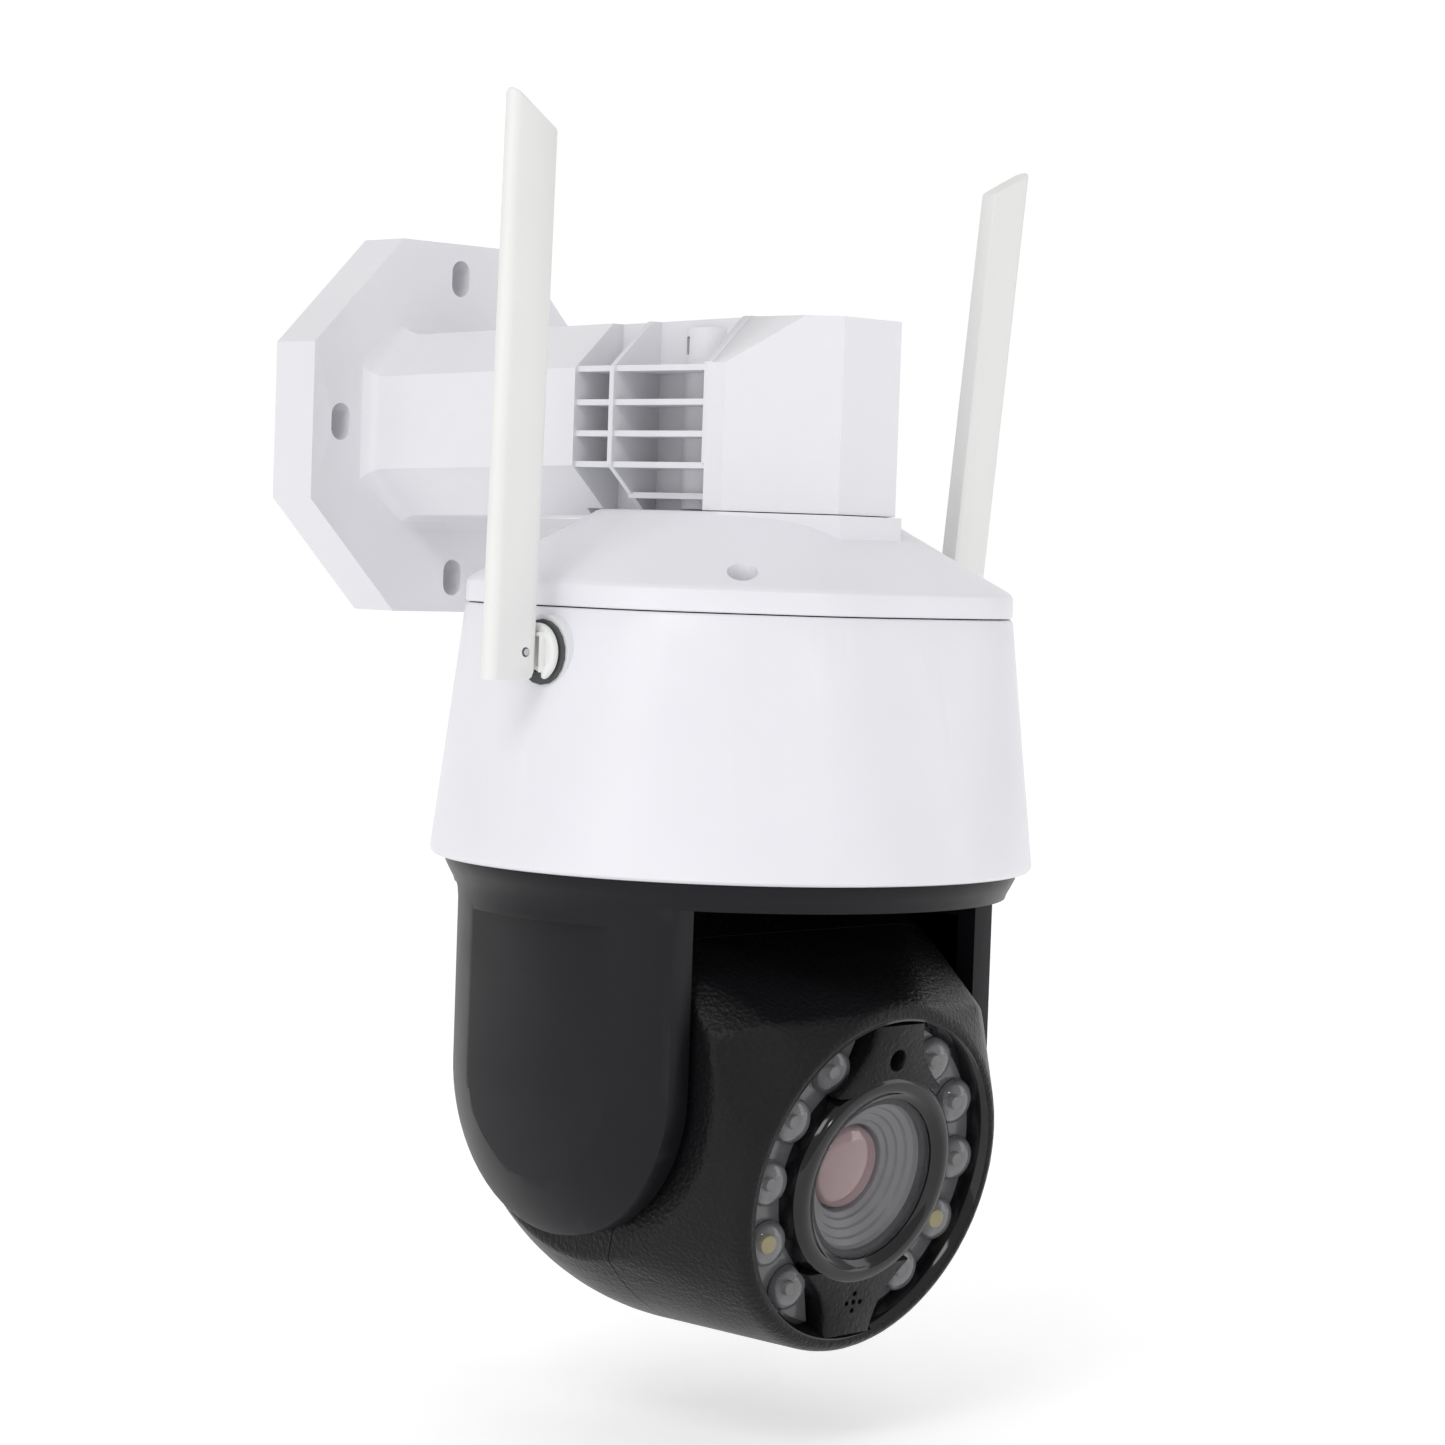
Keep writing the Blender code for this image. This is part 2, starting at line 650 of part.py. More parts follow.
# ---------------------------------------------------------------- antennas
def antenna(side, label, lean):
    """One swivelling, folding antenna; side is -1 at -X and 1 at +X, lean in degrees about +Y."""
    outboard = Matrix.Rotation(0 if side > 0 else pi, 4, "Z")
    swivel = Matrix.Translation((0, ANTENNA_Y, ANTENNA_Z)) @ outboard
    turned = swivel @ Matrix.Rotation(radians(90), 4, "Y")
    ring(f"antenna_seal_{label}", 8.6 * MM, 5.6 * MM, 74.9 * MM, 75.6 * MM, dark_rubber, turned, 18)
    ring(f"antenna_nut_{label}", 7.8 * MM, 5.4 * MM, 65.8 * MM, 68.4 * MM, brass, turned, 16)
    base = finish(
        f"antenna_base_{label}",
        lathe(
            [
                (0, 61 * MM),
                (5.1 * MM, 61 * MM),
                (5.1 * MM, 76.2 * MM),
                (7.6 * MM, 76.2 * MM),
                (7.6 * MM, 77.5 * MM),
                (7.1 * MM, 78.0 * MM),
                (0, 78.0 * MM),
            ],
            18,
        ),
        antenna_plastic,
    )
    local = Matrix.Rotation(radians(-90), 4, "Y")
    tongue = [(77.5, 3.4), (PIN_X / MM, 3.4)]
    for i in range(1, 8):
        angle = radians(90 - 22.5 * i)
        tongue.append((PIN_X / MM + 3.4 * cos(angle), 3.4 * sin(angle)))
    tongue += [(PIN_X / MM, -3.4), (77.5, -3.4)]
    blade_side = [[(x * MM, y * MM, z * MM) for x, z in tongue] for y in (-0.9, 0.9)]
    join(base, moved(loft(blade_side), local))
    for near, far in ((3.2 * MM, 4.6 * MM), (-4.6 * MM, -3.2 * MM)):
        join(base, moved(box((77.4 * MM, 79.2 * MM), (near, far), (-5.2 * MM, 5.2 * MM)), local))
    for near, far in ((0.9 * MM, 3.1 * MM), (-3.1 * MM, -0.9 * MM)):
        cut(base, moved(box((75.75 * MM, 82 * MM), (near, far), (-9 * MM, 4.2 * MM)), local))
    cut(base, moved(box((75.75 * MM, 82 * MM), (-3.1 * MM, 3.1 * MM), (-9 * MM, -3.8 * MM)), local))
    cut(base, moved(rod(1.2 * MM, -5 * MM, 5 * MM, 12), local @ along_y((PIN_X, 0, 0))))
    base.matrix_world = turned

    inner = BLADE_INNER_X - PIN_X
    outer = BLADE_OUTER_X - PIN_X
    half = BLADE_THICK / 2
    corner = 1.5 * MM
    outline = [
        (inner, -half + corner),
        (inner + corner * 0.3, -half + corner * 0.3),
        (inner + corner, -half),
        (outer - corner, -half),
        (outer - corner * 0.3, -half + corner * 0.3),
        (outer, -half + corner),
        (outer, half - corner),
        (outer - corner * 0.3, half - corner * 0.3),
        (outer - corner, half),
        (inner + corner, half),
        (inner + corner * 0.3, half - corner * 0.3),
        (inner, half - corner),
    ]

    width = outer - inner
    heel = 2.4 * MM
    low = BLADE_BOTTOM - ANTENNA_Z
    slope = (BLADE_TOP_OUTER - BLADE_TOP_INNER) / width
    foot = [(inner + heel + (x - inner) * (1 - heel / width), y, low) for x, y in outline]
    ankle = [(x, y, low + heel) for x, y in outline]
    tip = [(x, y, BLADE_TOP_INNER - ANTENNA_Z + (x - inner) * slope) for x, y in outline]
    blade = finish(f"antenna_blade_{label}", loft([foot, ankle, tip]), antenna_plastic)
    cut(blade, box((-6 * MM, 4.4 * MM), (-1.2 * MM, 1.2 * MM), (-12 * MM, 4.4 * MM)))
    cut(blade, moved(rod(1.2 * MM, -5 * MM, 5 * MM, 12), along_y()))
    at_pin = Matrix.Translation((side * PIN_X, ANTENNA_Y, ANTENNA_Z))
    blade.matrix_world = at_pin @ Matrix.Rotation(radians(lean), 4, "Y") @ outboard
    pin = finish(f"antenna_pin_{label}", rod(0.9 * MM, -3.1 * MM, 3.1 * MM, 12), steel)
    pin.matrix_world = at_pin @ Matrix.Rotation(radians(-90), 4, "X")


antenna(-1, "left", LEFT_LEAN)
antenna(1, "right", RIGHT_LEAN)


# ---------------------------------------------------------------- yoke
def arch(half, top, low_x, high_x, steps=24):
    """Upright slab along X with a round lower end about the tilt axis."""
    outline = [(half, top), (-half, top)]
    for i in range(steps + 1):
        angle = pi + pi * i / steps
        outline.append((half * cos(angle), TILT_Z + half * sin(angle)))
    points = [(AXIS_Y + y, z) for y, z in outline]
    return loft([[(x, y, z) for y, z in points] for x in (low_x, high_x)])


profile = [
    (10 * MM, -94 * MM),
    (HUB_RADIUS, -94 * MM),
    (HUB_RADIUS, YOKE_TOP),
    (70 * MM, YOKE_TOP),
    (70 * MM, -116 * MM),
    (FLARE_RADIUS, -117.5 * MM),
    (FLARE_RADIUS, -120 * MM),
    (76.6 * MM, -123 * MM),
    (YOKE_RADIUS, -127 * MM),
]
for i in range(9):
    angle = radians(62 * i / 8)
    profile.append((YOKE_RADIUS * cos(angle), TILT_Z - YOKE_RADIUS * sin(angle)))
profile.append((10 * MM, TILT_Z - YOKE_RADIUS * sin(radians(62))))
yoke = finish("yoke", moved(lathe(profile, 44), PAN), black_plastic, True)
wide = 90 * MM
deep = ARM_HALF_DEPTH
slot = ARM_INNER_X
plan = [(-wide, -wide), (wide, -wide), (wide, -deep), (slot, -deep), (slot, deep), (wide, deep)]
plan += [(-x, -y) for x, y in plan]
cut(yoke, loft([[(x, AXIS_Y + y, z) for x, y in plan] for z in (-270 * MM, YOKE_ROOF)]))
turn = [pi * i / 24 for i in range(1, 24)]
arc = [(deep * cos(a), TILT_Z - deep * sin(a)) for a in turn]
lead = 2 * deep - arc[0][0]
top = 2 * TILT_Z - arc[0][1]
below = [(wide, top), (lead, top)] + arc + [(-lead, top), (-wide, top)]
below += [(-wide, -270 * MM), (wide, -270 * MM)]
cut(yoke, loft([[(x, AXIS_Y + y, z) for y, z in below] for x in (-wide, wide)]))
for side in (-1, 1):
    span = sorted((side * YOKE_SIDE_X, side * 95 * MM))
    cut(yoke, box(span, (AXIS_Y - 60 * MM, AXIS_Y + 60 * MM), (-280 * MM, YOKE_SIDE_TOP)))
for side in (-1, 1):
    recess = arch(36 * MM, -133 * MM, side * 50 * MM, side * 57.5 * MM)
    across = (AXIS_Y - 20 * MM, AXIS_Y + 20 * MM)
    pocket = box((side * 50 * MM, side * 69 * MM), across, (-188 * MM, -140 * MM))
    round_place = Matrix.Translation(TILT_CENTRE) @ Matrix.Rotation(radians(90), 4, "Y")
    well = rod(18.2 * MM, min(side * 50 * MM, side * 62.6 * MM), max(side * 50 * MM, side * 62.6 * MM), 24)
    cut(yoke, recess, pocket, moved(well, round_place))

AXLE = Matrix.Translation(TILT_CENTRE) @ Matrix.Rotation(radians(90), 4, "Y")
for side, label in ((-1, "left"), (1, "right")):
    near = side * ARM_INNER_X
    far = side * 57.2 * MM
    plate = finish(f"yoke_cover_{label}", arch(35.7 * MM, -133.3 * MM, near, far), black_plastic)
    low, high = sorted((side * 50 * MM, side * 60 * MM))
    cut(plate, moved(rod(8.6 * MM, low, high, 22), AXLE))
    screw_spots = [(-26, -143), (26, -143)]
    for number, (y, z) in enumerate(screw_spots, 1):
        spot = Vector((side * 54.9 * MM, AXIS_Y + y * MM, z * MM))
        hole = Matrix.Translation((0, spot.y, spot.z)) @ Matrix.Rotation(radians(90), 4, "Y")
        cut(plate, moved(rod(1.5 * MM, low, high, 12), hole))
    low, high = sorted((side * 55.5 * MM, side * 57.1 * MM))
    ring(f"tilt_bearing_{label}", 8.3 * MM, 6.3 * MM, low, high, steel, AXLE, 22)

tilt_gear = finish(
    "tilt_gear", gear(TILT_TEETH, TILT_MODULE, -61.2 * MM, -58.2 * MM), gear_plastic
)
cut(tilt_gear, rod(6.3 * MM, -70 * MM, -50 * MM, 18))
tilt_gear.matrix_world = AXLE
TILT_DRIVE_Z = TILT_Z + (TILT_TEETH + TILT_PINION_TEETH) * TILT_MODULE / 2 + 0.3 * MM
tilt_drive = Matrix.Translation((0, AXIS_Y, TILT_DRIVE_Z)) @ Matrix.Rotation(radians(90), 4, "Y")
tilt_pinion = finish(
    "tilt_pinion",
    gear(TILT_PINION_TEETH, TILT_MODULE, -61.3 * MM, -58.1 * MM, 0.5),
    brass,
)
join(tilt_pinion, rod(1.2 * MM, -64.5 * MM, -57.9 * MM, 12))
tilt_pinion.matrix_world = tilt_drive
tilt_motor = finish("tilt_motor", rod(10 * MM, -68.6 * MM, -62.0 * MM, 22), steel)
join(tilt_motor, box((-2.5 * MM, 2.5 * MM), (-15 * MM, 15 * MM), (-63.4 * MM, -62.1 * MM)))
cut(tilt_motor, rod(1.6 * MM, -65.5 * MM, -60 * MM, 12))
tilt_motor.matrix_world = tilt_drive


# ---------------------------------------------------------------- head shells
def head_hull(inset, front_inset):
    """Ball below and in front of the tilt axis, drawn out to the round face rim."""
    points = []
    half = HEAD_HALF_WIDTH - inset
    ball = BALL_RADIUS - inset
    rear = REAR_RADIUS - inset
    front = -9 * MM - front_inset / 2
    to_face = FACE.inverted()
    for share in (-1.0, -0.78, -0.45, -0.15, 0.15, 0.45, 0.78, 1.0):
        x = half * share
        reach = sqrt(ball * ball - x * x)
        for i in range(18):
            angle = radians(-18 + 150 * i / 17)
            point = Vector((x, AXIS_Y - reach * cos(angle), TILT_Z - reach * sin(angle)))
            if (to_face @ point).z < front:
                points.append(tuple(point))
    for x, radius in ((half, rear - 5 * MM), (half - 2 * MM, rear - 1.5 * MM), (half - 7 * MM, rear)):
        for i in range(26):
            angle = radians(125 + 225 * i / 25)
            y = AXIS_Y - radius * cos(angle)
            z = TILT_Z - radius * sin(angle)
            points += [(x, y, z), (-x, y, z)]
    rims = ((RIM_OUTER, -6.0 * MM), (RIM_OUTER - 1.0 * MM, -2.4 * MM), (RIM_OUTER - 3.2 * MM, -0.4 * MM))
    if front_inset:
        rims = ((RIM_INNER + 1.4 * MM, -front_inset),)
    for radius, w in rims:
        points += [tuple(FACE @ Vector(p)) for p in circle(radius, w, 32)]
    return hull(points)


def face_box(u, v, w):
    return moved(box(u, v, w), FACE)


far = 200 * MM
for name, low, high in (
    ("head_front_shell", -far, SPLIT_W + GAP / 2),
    ("head_rear_shell", SPLIT_W - GAP / 2, far),
):
    shell = finish(name, head_hull(0.0, 0.0), black_grain, True)
    cut(shell, face_box((-far, far), (-far, far), (low, high)))
    cut(shell, head_hull(SHELL, 12 * MM))
    if name == "head_front_shell":
        mouth = [
            (0, -14 * MM),
            (RIM_INNER, -14 * MM),
            (RIM_INNER, -5.5 * MM),
            (RIM_INNER + 1.7 * MM, -0.9 * MM),
            (RIM_INNER + 4.5 * MM, 3 * MM),
            (0, 3 * MM),
        ]
        cut(shell, moved(lathe(mouth, 36), FACE))
    else:
        join(
            shell,
            moved(rod(6.0 * MM, -62.4 * MM, -51.2 * MM, 18), AXLE),
            moved(rod(6.0 * MM, 51.2 * MM, 57.2 * MM, 18), AXLE),
        )
        cut(shell, moved(rod(3.2 * MM, -70 * MM, -40 * MM, 12), AXLE))


# ---------------------------------------------------------------- face, windows and lamps
def strip(sign):
    """Raised bar from the lens ring to the rim, above (1) or below (-1) the lens."""
    half = [(9.2, 41.8), (10.6, 36.0), (14.6, 28.4), (13.0, 25.4), (0.0, 27.6)]
    outline = half + [(-u, v) for u, v in reversed(half[:-1])]
    rings = []
    for w, inset in ((-10.0, 0.0), (-1.9, 0.0), (-0.7, 1.1)):
        ring_points = []
        for u, v in outline:
            shift = inset * (1 if u > 0 else -1) if abs(u) > 0 else 0.0
            ring_points.append(((u - shift) * MM, sign * v * MM, w * MM))
        rings.append(ring_points)
    return loft(rings)


face_plate = finish(
    "face_plate",
    lathe(
        [
            (20.5 * MM, -10 * MM),
            (30.0 * MM, -10 * MM),
            (30.0 * MM, -4.5 * MM),
            (28.6 * MM, -0.8 * MM),
            (27.2 * MM, -0.1 * MM),
            (25.4 * MM, -0.2 * MM),
            (22.7 * MM, -1.6 * MM),
            (22.7 * MM, -3.0 * MM),
            (20.5 * MM, -3.0 * MM),
        ],
        36,
    ),
    black_plastic,
)
join(face_plate, strip(1), strip(-1))
join(face_plate, tube(42.9 * MM, 42.1 * MM, -9.9 * MM, -7.1 * MM, 36))
cut(face_plate, moved(rod(2.6 * MM, -12 * MM, 2 * MM, 16), Matrix.Translation((0, 33.6 * MM, 0))))
mic_spots = [(0, -34.2), (-2.6, -34.4), (2.6, -34.4), (0, -31.8), (0, -36.6)]
for u, v in mic_spots:
    cut(face_plate, moved(rod(0.8 * MM, -12 * MM, 2 * MM, 6), Matrix.Translation((u * MM, v * MM, 0))))
face_plate.matrix_world = FACE


def band(name, sign, outer, inner, start, start_inner, low, high, paint, steps=20):
    """C-shaped plate beside the lens ring; start angles are measured from straight up."""
    outline = []
    for i in range(steps + 1):
        angle = radians(start + (180 - 2 * start) * i / steps)
        outline.append((sign * outer * sin(angle), outer * cos(angle)))
    for i in range(steps + 1):
        angle = radians(180 - start_inner - (180 - 2 * start_inner) * i / steps)
        outline.append((sign * inner * sin(angle), inner * cos(angle)))
    made = finish(name, loft([[(u, v, w) for u, v in outline] for w in (low, high)]), paint)
    made.matrix_world = FACE
    return made


for sign, label in ((-1, "left"), (1, "right")):
    band(
        f"lamp_window_{label}", sign, 42.3 * MM, 30.4 * MM, 15.5, 34.5, -6.7 * MM, -5.6 * MM, smoked
    )
    lamps = band(
        f"lamp_lenses_{label}", sign, 38.6 * MM, 34.2 * MM, 30.0, 30.0, -11.2 * MM, -10.2 * MM, clear_glass
    )
    for angle in LED_ANGLES:
        turn = radians(angle)
        u = sign * LED_RING * cos(turn)
        dome = lathe(
            [
                (0, -10.9 * MM),
                (5.2 * MM, -10.9 * MM),
                (5.0 * MM, -8.9 * MM),
                (3.2 * MM, -7.5 * MM),
                (0, -7.05 * MM),
            ],
            12,
        )
        join(lamps, moved(dome, Matrix.Translation((u, LED_RING * sin(turn), 0))))

lamp_board = ring("lamp_board", 41.4 * MM, 26 * MM, -13.2 * MM, -11.7 * MM, board_white, FACE, 32)
light_sensor = finish("light_sensor", rod(2.2 * MM, -11.4 * MM, -4.0 * MM, 12), clear_glass)
light_sensor.matrix_world = FACE @ Matrix.Translation((0, 33.6 * MM, 0))
microphone = finish("microphone", rod(3.0 * MM, -11.4 * MM, -10.3 * MM, 12), aluminium)
microphone.matrix_world = FACE @ Matrix.Translation((0, -34.2 * MM, 0))
lens_window = finish("lens_window", rod(22.3 * MM, -2.7 * MM, -1.7 * MM, 32), clear_glass)
lens_window.matrix_world = FACE


# ---------------------------------------------------------------- camera module
def optic(name, outline, paint, steps=26):
    made = finish(name, lathe([(r * MM, w * MM) for r, w in outline], steps), paint)
    made.matrix_world = FACE
    return made


optic(
    "lens_barrel",
    [
        (12.2, -38),
        (19.4, -38),
        (19.4, -4.6),
        (17.8, -4.6),
        (17.2, -6.6),
        (15.2, -6.8),
        (14.6, -9.2),
        (12.2, -9.4),
    ],
    black_plastic,
)
front_profile = [(0, -13.2), (11.9, -13.2), (11.9, -11.6), (8.5, -10.2), (4.5, -9.5), (0, -9.2)]
optic("front_lens", front_profile, clear_glass)
zoom_profile = [(0, -22.4), (8, -23), (11.8, -24), (11.8, -18), (9, -18), (6, -19.6), (0, -20.2)]
optic("zoom_group", zoom_profile, aluminium)
focus_profile = [(0, -33), (8, -33.4), (11.8, -34), (11.8, -29.2), (9, -29.2), (5, -30.2), (0, -30.6)]
optic("focus_group", focus_profile, brass)
filter_plate = box((-8 * MM, 8 * MM), (-8 * MM, 8 * MM), (-39.9 * MM, -38.7 * MM))
ir_filter = finish("infrared_filter", filter_plate, clear_glass)
ir_filter.matrix_world = FACE
sensor_board = finish(
    "sensor_board", box((-19 * MM, 19 * MM), (-19 * MM, 19 * MM), (-46 * MM, -44.4 * MM)), board_green
)
join(sensor_board, box((-8 * MM, 8 * MM), (-6 * MM, 6 * MM), (-45 * MM, -41.5 * MM)))
join(sensor_board, box((-6 * MM, 6 * MM), (-15 * MM, -9 * MM), (-50 * MM, -45 * MM)))
sensor_board.matrix_world = FACE
chassis_block = box((-28 * MM, 28 * MM), (-21 * MM, 21 * MM), (-57 * MM, -14.2 * MM))
chassis = finish("camera_chassis", chassis_block, aluminium)
cut(chassis, box((-26.4 * MM, 26.4 * MM), (-40 * MM, 40 * MM), (-55.4 * MM, -15.8 * MM)))
cut(chassis, rod(19.8 * MM, -20 * MM, -10 * MM, 24))
chassis.matrix_world = FACE
heat_sink = finish(
    "heat_sink", box((-20 * MM, 20 * MM), (-16 * MM, 16 * MM), (-60 * MM, -57.3 * MM)), aluminium
)
for i in range(6):
    u = (-17.5 + 7 * i) * MM
    join(heat_sink, box((u - 0.8 * MM, u + 0.8 * MM), (-15.5 * MM, 15.5 * MM), (-68 * MM, -58 * MM)))
heat_sink.matrix_world = FACE
for name, v in (("zoom_motor", 27.0), ("focus_motor", -27.0)):
    motor = finish(name, rod(5 * MM, -34 * MM, -20 * MM, 16), steel)
    join(motor, rod(1 * MM, -38 * MM, -33 * MM, 10))
    motor.matrix_world = FACE @ Matrix.Translation((0, v * MM, 0))
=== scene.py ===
"""Finished look of an outdoor pan-tilt-zoom camera: mouldings, lamps, optics, antennas and a plain studio."""

from math import cos, pi, radians, sin, sqrt

import bmesh
import bpy
from mathutils import Matrix, Vector


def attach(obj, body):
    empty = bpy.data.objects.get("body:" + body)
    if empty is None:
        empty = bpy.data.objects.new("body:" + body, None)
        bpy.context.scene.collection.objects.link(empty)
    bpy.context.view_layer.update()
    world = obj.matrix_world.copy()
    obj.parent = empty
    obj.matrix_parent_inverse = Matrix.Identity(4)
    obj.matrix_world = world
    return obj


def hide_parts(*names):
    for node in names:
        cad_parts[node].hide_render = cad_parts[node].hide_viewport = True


bl_info = {
    "name": "Pan-tilt-zoom camera",
    "version": (1, 0, 0),
    "blender": (4, 5, 0),
    "location": "3D View > Sidebar > PTZ camera",
    "description": "Builds the visible pieces of a wall-mounted pan-tilt-zoom camera",
    "category": "Object",
}

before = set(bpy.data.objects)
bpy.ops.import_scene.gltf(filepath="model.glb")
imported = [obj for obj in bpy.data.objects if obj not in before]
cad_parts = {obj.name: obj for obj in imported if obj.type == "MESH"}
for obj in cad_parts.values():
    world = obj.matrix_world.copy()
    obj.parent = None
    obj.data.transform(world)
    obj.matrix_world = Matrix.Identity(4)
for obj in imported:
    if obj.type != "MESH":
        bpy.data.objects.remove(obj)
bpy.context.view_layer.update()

MM = 0.001
AXIS_Y = -0.138
TILT_Z = -0.174
SEAM_Z = -0.0494
RIM_Z = -0.1185
BLOCK_BOTTOM = -0.023
PAN = Matrix.Translation((0, AXIS_Y, 0))
TILT_DOWN = radians(11)
FACE = Matrix.Translation((0, -0.1968, -0.1997)) @ Matrix.Rotation(radians(90) + TILT_DOWN, 4, "X")


# ---------------------------------------------------------------- solids
def closed(bm):
    """Turns the faces of a closed shape outwards."""
    bmesh.ops.recalc_face_normals(bm, faces=bm.faces)
    if bm.calc_volume(signed=True) < 0:
        bmesh.ops.reverse_faces(bm, faces=bm.faces)
    return bm


def loft(rings, loop=False):
    """Skin through rings of equal length, with flat ends unless it runs round in a loop."""
    bm = bmesh.new()
    rows = [[bm.verts.new(point) for point in ring] for ring in rings]
    pairs = list(zip(rows, rows[1:]))
    if loop:
        pairs.append((rows[-1], rows[0]))
    for low, high in pairs:
        for i in range(len(low)):
            j = (i + 1) % len(low)
            bm.faces.new((low[i], low[j], high[j], high[i]))
    if not loop:
        bm.faces.new(list(reversed(rows[0])))
        bm.faces.new(rows[-1])
    return closed(bm)


def circle(radius, z, steps):
    """Points of a level circle round the Z axis."""
    return [(radius * cos(2 * pi * i / steps), radius * sin(2 * pi * i / steps), z) for i in range(steps)]


def lathe(profile, steps=96, place=None):
    """Turned shape from (radius, z) points; a profile off the axis at both ends closes into a ring."""
    bm = bmesh.new()
    loop = profile[0][0] > 0 and profile[-1][0] > 0
    rows = []
    for radius, z in profile:
        if radius <= 0:
            rows.append([bm.verts.new((0, 0, z))])
        else:
            rows.append([bm.verts.new(point) for point in circle(radius, z, steps)])
    pairs = list(zip(rows, rows[1:]))
    if loop:
        pairs.append((rows[-1], rows[0]))
    for low, high in pairs:
        for i in range(steps):
            j = (i + 1) % steps
            around = (low[i % len(low)], low[j % len(low)], high[j % len(high)], high[i % len(high)])
            bm.faces.new(list(dict.fromkeys(around)))
    if place is not None:
        bm.transform(place)
    return closed(bm)


def rod(radius, low, high, steps=64, place=None):
    """Solid cylinder cutter or post along Z, between two heights."""
    return lathe([(0, low), (radius, low), (radius, high), (0, high)], steps, place)


def box(xs, ys, zs, place=None):
    """Closed block between the pairs of limits."""
    corners = [(xs[0], ys[0]), (xs[1], ys[0]), (xs[1], ys[1]), (xs[0], ys[1])]
    bm = loft([[(x, y, z) for x, y in corners] for z in zs])
    if place is not None:
        bm.transform(place)
    return closed(bm)


def hull(points):
    """Smallest closed shape with no hollow that holds the points."""
    bm = bmesh.new()
    for point in points:
        bm.verts.new(point)
    made = bmesh.ops.convex_hull(bm, input=bm.verts)
    spare = {v for v in made["geom_interior"] + made["geom_unused"] if isinstance(v, bmesh.types.BMVert)}
    bmesh.ops.delete(bm, geom=list(spare), context="VERTS")
    return closed(bm)


def new_object(name, bm):
    """Object in the scene made from a shape, which is used up."""
    mesh = bpy.data.meshes.new(name)
    bm.to_mesh(mesh)
    bm.free()
    obj = bpy.data.objects.new(name, mesh)
    bpy.context.scene.collection.objects.link(obj)
    return obj


def taken(obj):
    """Shape of an object; the object goes with its mesh."""
    bm = bmesh.new()
    bm.from_mesh(obj.data)
    bpy.data.meshes.remove(obj.data)
    return closed(bm)


def settle(obj):
    """Turns the live modifiers of an object into plain mesh."""
    bpy.context.view_layer.update()
    graph = bpy.context.evaluated_depsgraph_get()
    mesh = bpy.data.meshes.new_from_object(obj.evaluated_get(graph))
    obj.modifiers.clear()
    old = obj.data
    obj.data = mesh
    mesh.name = obj.name
    bpy.data.meshes.remove(old)
    return obj


def combine(name, base, joins=(), cuts=()):
    """Object made of the base with shapes joined to it and then cut from it."""
    obj = new_object(name, base)
    helpers = []
    for operation, shapes in (("UNION", joins), ("DIFFERENCE", cuts)):
        for shape in shapes:
            helper = new_object(f"{name}_helper", shape)
            helpers.append(helper)
            step = obj.modifiers.new("shape", "BOOLEAN")
            step.operation = operation
            step.solver = "EXACT"
            step.object = helper
    if helpers:
        settle(obj)
    for helper in helpers:
        bpy.data.meshes.remove(helper.data)
    bm = bmesh.new()
    bm.from_mesh(obj.data)
    bmesh.ops.remove_doubles(bm, verts=bm.verts, dist=2e-6)
    bmesh.ops.dissolve_limit(bm, angle_limit=radians(0.6), verts=bm.verts, edges=bm.edges)
    bmesh.ops.connect_verts_concave(bm, faces=bm.faces)
    bm.to_mesh(obj.data)
    bm.free()
    return obj


def rounded(obj, width, segments=3, angle=28):
    """Gives the hard edges a moulded radius."""
    edge = obj.modifiers.new("edge", "BEVEL")
    edge.width = width
    edge.segments = segments
    edge.limit_method = "ANGLE"
    edge.angle_limit = radians(angle)
    edge.harden_normals = False
    return settle(obj)


def softened(obj, voxel, turns):
    """Even fine mesh over a shape, with every edge melted a little."""
    step = obj.modifiers.new("even", "REMESH")
    step.mode = "VOXEL"
    step.voxel_size = voxel
    step = obj.modifiers.new("melt", "SMOOTH")
    step.iterations = turns
    step.factor = 0.5
    return settle(obj)


def dress(obj, paint, body, stands_for=(), sharp=38):
    """Shading, material and the CAD body that a piece goes with."""
    obj.data.shade_smooth()
    obj.data.set_sharp_from_angle(angle=radians(sharp))
    obj.data.materials.clear()
    obj.data.materials.append(paint)
    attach(obj, body)
    if stands_for:
        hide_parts(*stands_for)
    return obj


def repaint(paint, *nodes):
    """Gives a material to CAD pieces that keep their own shape."""
    for node in nodes:
        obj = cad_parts[node]
        if not obj.material_slots:
            obj.data.materials.append(paint)
        for slot in obj.material_slots:
            slot.link = "OBJECT"
            slot.material = paint


# ---------------------------------------------------------------- materials
def node(tree, kind, values=None, **settings):
    """Shader node with its settings and its values."""
    made = tree.nodes.new(kind)
    for key, value in settings.items():
        setattr(made, key, value)
    for key, value in (values or {}).items():
        made.inputs[key].default_value = value
    return made


def mixed(tree, factor, low, high):
    """Colour between low and high by a 0 to 1 value."""
    mix = node(tree, "ShaderNodeMix", data_type="RGBA")
    mix.inputs[6].default_value = (*low, 1)
    mix.inputs[7].default_value = (*high, 1)
    tree.links.new(factor, mix.inputs[0])
    return mix.outputs[2]


def spread(tree, factor, low, high):
    """0 to 1 value stretched to the range low to high."""
    made = node(tree, "ShaderNodeMapRange", {"To Min": low, "To Max": high})
    tree.links.new(factor, made.inputs["Value"])
    return made.outputs["Result"]


def noise(tree, where, scale, detail=4.0, roughness=0.55):
    """Noise value from 0 to 1; scale is in cells for each metre."""
    made = node(tree, "ShaderNodeTexNoise", {"Scale": scale, "Detail": detail, "Roughness": roughness})
    tree.links.new(where, made.inputs["Vector"])
    return made.outputs["Fac"]


